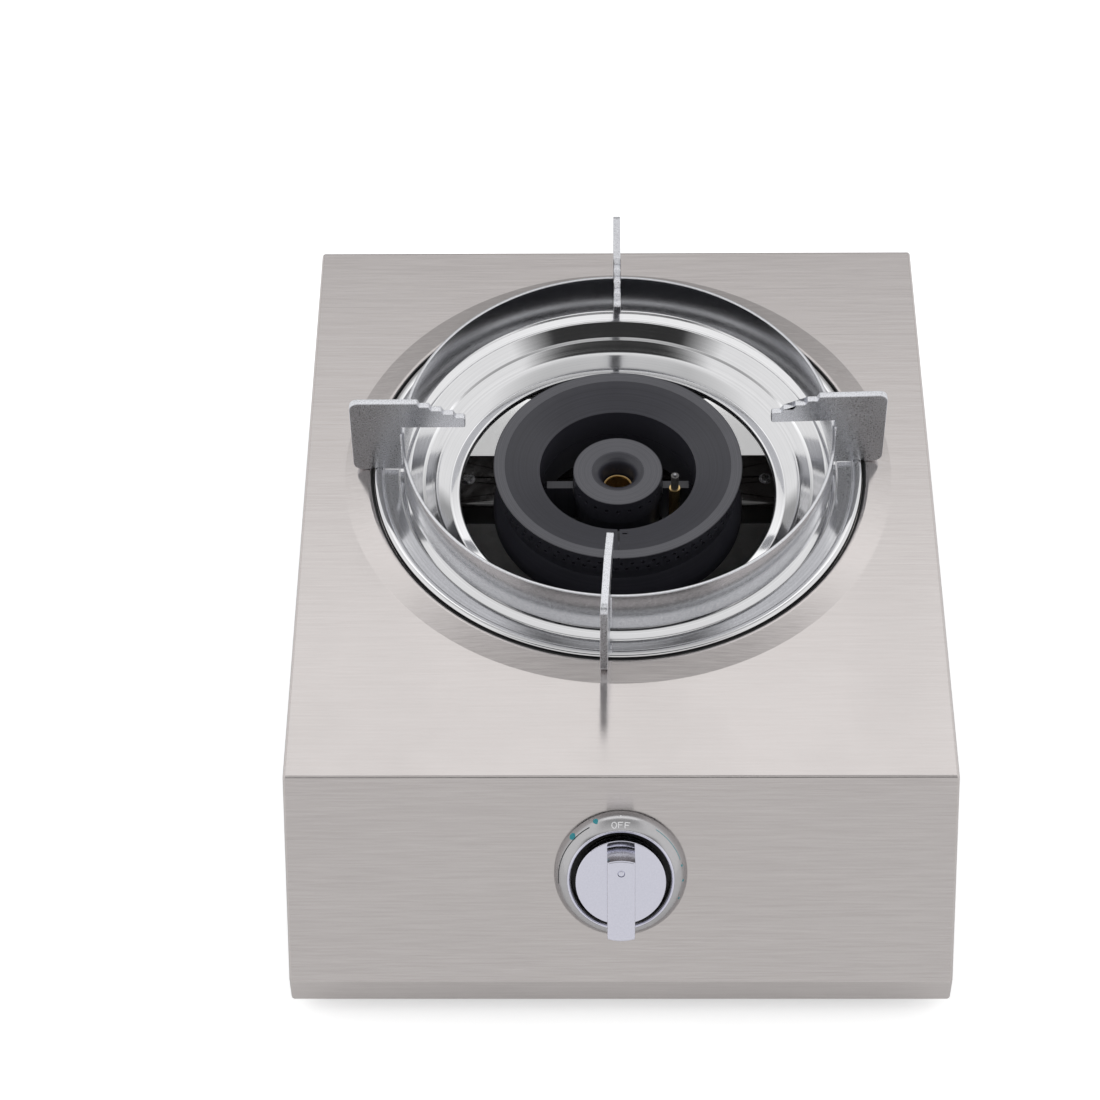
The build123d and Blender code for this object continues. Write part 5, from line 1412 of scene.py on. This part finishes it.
@dataclass
class Fasteners:
    """Cross-head screws with threads that stand for the plain ones of the CAD frame."""

    seed: int = 7
    sets: tuple[ScrewSet, ...] = (
        ScrewSet("base_screws", (0.0, 0.0, -1.0)),
        ScrewSet("rear_screws", (0.0, 1.0, 0.0)),
        ScrewSet("foot_screws", (0.0, 0.0, -1.0), shank=2.0),
        ScrewSet("bridge_screws", (0.0, 0.0, 1.0)),
        ScrewSet("burner_screws", (0.0, 0.0, -1.0)),
        ScrewSet("tube_bracket_screws", (0.0, 0.0, 1.0)),
        ScrewSet("electrode_screw", (0.0, 0.0, -1.0)),
    )

    def build(self) -> None:
        """Put screws where the frame has them."""
        for screws in self.sets:
            self.place(screws)

    @staticmethod
    def islands(node: str) -> list[list[Vector]]:
        """Points of each separate solid in a CAD node, in metres and in a fixed order."""
        work = bmesh.new()
        work.from_mesh(frame["nodes"][node].data)
        bmesh.ops.remove_doubles(work, verts=work.verts, dist=WELD_METRES)
        left = dict.fromkeys(work.verts)
        found = []
        while left:
            queue = [left.popitem()[0]]
            island = []
            while queue:
                vertex = queue.pop()
                island.append(vertex.co.copy())
                for near in (edge.other_vert(vertex) for edge in vertex.link_edges):
                    if near in left:
                        del left[near]
                        queue.append(near)
            found.append(island)
        work.free()
        return found

    def place(self, screws: ScrewSet) -> None:
        """Make one set of screws, as long as the frame's own.

        Args:
            screws: The set.
        """
        way = Vector(screws.facing)
        seats = []
        length = 0.0
        for island in self.islands(screws.node):
            levels = [point.dot(way) for point in island]
            low = Vector(min(point[axis] for point in island) for axis in range(3))
            high = Vector(max(point[axis] for point in island) for axis in range(3))
            middle = (low + high) / 2
            seat = max(levels) - screws.head_height * MM
            length = seat - min(levels)
            seats.append((middle + way * (seat - middle.dot(way))) / MM)
        made = mesh_object(f"cross_head_{screws.node}", seats)
        facing = made.data.attributes.new("facing", "FLOAT_VECTOR", "POINT")
        for row in facing.data:
            row.vector = way
        values = {
            "Head Radius": screws.head * MM,
            "Head Height": screws.head_height * MM,
            "Shank Radius": screws.shank * MM,
            "Shank Length": length,
            "Thread Pitch": screws.pitch * MM,
            "Seed": self.seed,
            "Material": ZINC.material,
        }
        WORKSHOP.run(made, WORKSHOP.screws, values, Matrix.Identity(4))
        tidy_mesh(made.data, 35.0)
        present(made, ZINC, Body.STOVE, [screws.node])


@dataclass
class Dresser:
    """Gives every CAD node that still shows a finish and a smooth skin."""

    folded: tuple[str, ...] = ("burner_bridge", "left_bridge_leg", "right_bridge_leg")
    fold: float = 0.7
    sharp: float = 32.0

    def dress(self) -> None:
        """Dress the nodes that no piece stands for."""
        slots = {row["node"]: row["material_slot"] for row in frame["record"]["subparts"]}
        for node, made in frame["nodes"].items():
            if made.hide_render:
                continue
            finish = NODE_FINISHES[slots[node]]
            paint(made, finish)
            smooth_modifiers(made, self.sharp, self.fold if node in self.folded else 0.0)
            LOG.info("%s: dressed in %s", node, finish.name)


@dataclass(frozen=True)
class Panel:
    """Lamp or grey card of the studio, aimed at the stove.

    Its place and sizes are in metres. Its level is a lamp's power in watts, or a card's brightness
    where 1 is white, which may change towards the card's top. A card fades out over its soft share.
    """

    name: str
    place: Point3
    width: float
    height: float
    level: float
    top_level: float | None = None
    soft: float = 0.14

    def matrix(self) -> Matrix:
        """Place that faces the stove along -z."""
        aim = Vector((0.0, 0.0, 0.1)) - Vector(self.place)
        return Matrix.Translation(self.place) @ aim.to_track_quat("-Z", "Y").to_matrix().to_4x4()


@dataclass
class Studio:
    """Pale floor, soft light and the camera at the photograph's angle."""

    camera_at: Point3 = (-0.0127, -0.9649, 1.2290)
    pitch: float = 49.72
    yaw: float = -1.18
    roll: float = -1.01
    lens: float = 102.2
    sensor: float = 36.0
    floor_size: float = 12.0
    floor_glow: float = 0.45
    world_light: float = 0.75
    lamps: tuple[Panel, ...] = (
        Panel("left_lamp", (-2.3, 0.2, 1.6), 3.2, 3.2, 30.0),
        Panel("right_lamp", (2.3, 0.2, 1.6), 3.2, 3.2, 28.0),
    )
    cards: tuple[Panel, ...] = (
        Panel("ceiling_card", (0.0, 0.1, 4.5), 5.6, 5.8, 0.3, 0.95, soft=0.25),
        Panel("front_card", (0.0, -1.9, 2.0), 5.2, 1.4, 0.04, soft=0.24),
        Panel("low_front_card", (0.0, -2.6, 0.7), 7.0, 2.0, 0.79),
        Panel("rear_low_card", (0.0, 3.4, 0.9), 6.0, 3.0, 0.42),
        Panel("rear_card", (0.0, 1.95, 2.27), 3.0, 1.6, 0.25, 1.85),
    )

    def build(self) -> None:
        """Set up the view, the floor, the world, the lamps and the cards."""
        bpy.context.scene.view_settings.view_transform = "Standard"
        self.camera()
        self.floor()
        self.world()
        for lamp in self.lamps:
            self.hang_lamp(lamp)
        for card in self.cards:
            self.hang_card(card)

    def camera(self) -> None:
        """Place the camera."""
        pitch, yaw, roll = (math.radians(value) for value in (self.pitch, self.yaw, self.roll))
        ahead = Vector((math.sin(yaw) * math.cos(pitch), math.cos(yaw) * math.cos(pitch), -math.sin(pitch)))
        right = ahead.cross(Vector((0.0, 0.0, 1.0))).normalized()
        above = right.cross(ahead)
        right, above = (
            right * math.cos(roll) + above * math.sin(roll),
            above * math.cos(roll) - right * math.sin(roll),
        )
        data = bpy.data.cameras.new("camera")
        data.lens = self.lens
        data.sensor_width = self.sensor
        made = bpy.data.objects.new("camera", data)
        turn = Matrix((right, above, -ahead)).transposed().to_4x4()
        made.matrix_world = Matrix.Translation(self.camera_at) @ turn
        bpy.context.scene.collection.objects.link(made)
        bpy.context.scene.camera = made

    def floor(self) -> None:
        """Lay a pale floor that keeps the shadow and shows white elsewhere."""
        made = rectangle("floor", self.floor_size, self.floor_size)
        material = bpy.data.materials.new("floor")
        board = blank_board(material)
        matt = board.add("ShaderNodeBsdfDiffuse", {"Color": (0.8, 0.8, 0.8, 1.0)})
        path = board.add("ShaderNodeLightPath")
        seen = board.math("MAXIMUM", path.outputs["Is Camera Ray"], path.outputs["Is Transmission Ray"])
        glow = board.add("ShaderNodeEmission", {"Strength": board.math("MULTIPLY", seen, self.floor_glow)})
        both = board.add("ShaderNodeAddShader", {0: matt.outputs["BSDF"], 1: glow.outputs["Emission"]})
        board.add("ShaderNodeOutputMaterial", {"Surface": both.outputs["Shader"]})
        made.data.materials.append(material)

    def world(self) -> None:
        """White world that lights the object at a plain level."""
        world = bpy.data.worlds.new("studio")
        bpy.context.scene.world = world
        board = blank_board(world)
        path = board.add("ShaderNodeLightPath")
        seen = board.math("MAXIMUM", path.outputs["Is Camera Ray"], path.outputs["Is Glossy Ray"])
        seen = board.math("MAXIMUM", seen, path.outputs["Is Transmission Ray"])
        strength = board.spread(seen, 0.0, 1.0, self.world_light, 1.0)
        sky = board.add("ShaderNodeBackground", {"Color": (1.0, 1.0, 1.0, 1.0), "Strength": strength})
        board.add("ShaderNodeOutputWorld", {"Surface": sky.outputs["Background"]})

    @staticmethod
    def hang_lamp(lamp: Panel) -> None:
        """Hang a soft lamp that reflections don't see."""
        data = bpy.data.lights.new(lamp.name, "AREA")
        data.shape = "RECTANGLE"
        data.size = lamp.width
        data.size_y = lamp.height
        data.energy = lamp.level
        made = bpy.data.objects.new(lamp.name, data)
        made.matrix_world = lamp.matrix()
        made.visible_glossy = False
        bpy.context.scene.collection.objects.link(made)

    @staticmethod
    def hang_card(card: Panel) -> None:
        """Hang a grey card with soft edges that only reflections see."""
        made = rectangle(card.name, card.width, card.height)
        made.data.transform(card.matrix())
        made.data.uv_layers.new(name="card")
        material = bpy.data.materials.new(card.name)
        board = blank_board(material)
        sides = board.add("ShaderNodeSeparateXYZ", {"Vector": board.get("ShaderNodeUVMap", uv_map="card")})
        off_middle = [
            board.math("ABSOLUTE", board.math("SUBTRACT", sides.outputs[key], 0.5)) for key in "XY"
        ]
        inside = board.spread(board.math("MAXIMUM", *off_middle), 0.5, 0.5 - card.soft, 0.0, 1.0)
        top = card.level if card.top_level is None else card.top_level
        level = board.spread(sides.outputs["Y"], 0.0, 1.0, card.level, top)
        glow = board.add("ShaderNodeEmission", {"Strength": level})
        clear = board.add("ShaderNodeBsdfTransparent")
        both = board.add(
            "ShaderNodeMixShader", {0: inside, 1: clear.outputs["BSDF"], 2: glow.outputs["Emission"]}
        )
        board.add("ShaderNodeOutputMaterial", {"Surface": both.outputs["Shader"]})
        material.cycles.emission_sampling = "NONE"
        made.data.materials.append(material)
        for ray in ("camera", "diffuse", "transmission", "volume_scatter", "shadow"):
            setattr(made, f"visible_{ray}", False)


def main() -> None:
    """Build the stove's pieces, dress what is left of the frame and set up the studio."""
    logging.basicConfig(level=logging.INFO, format="%(name)s %(message)s")
    for assembly in (SheetBody, DripBowl, FlameCaps, PanSupport, KnobDial, StemSpring, Fasteners):
        assembly().build()
    Dresser().dress()
    Studio().build()


if __name__ == "__main__":
    main()
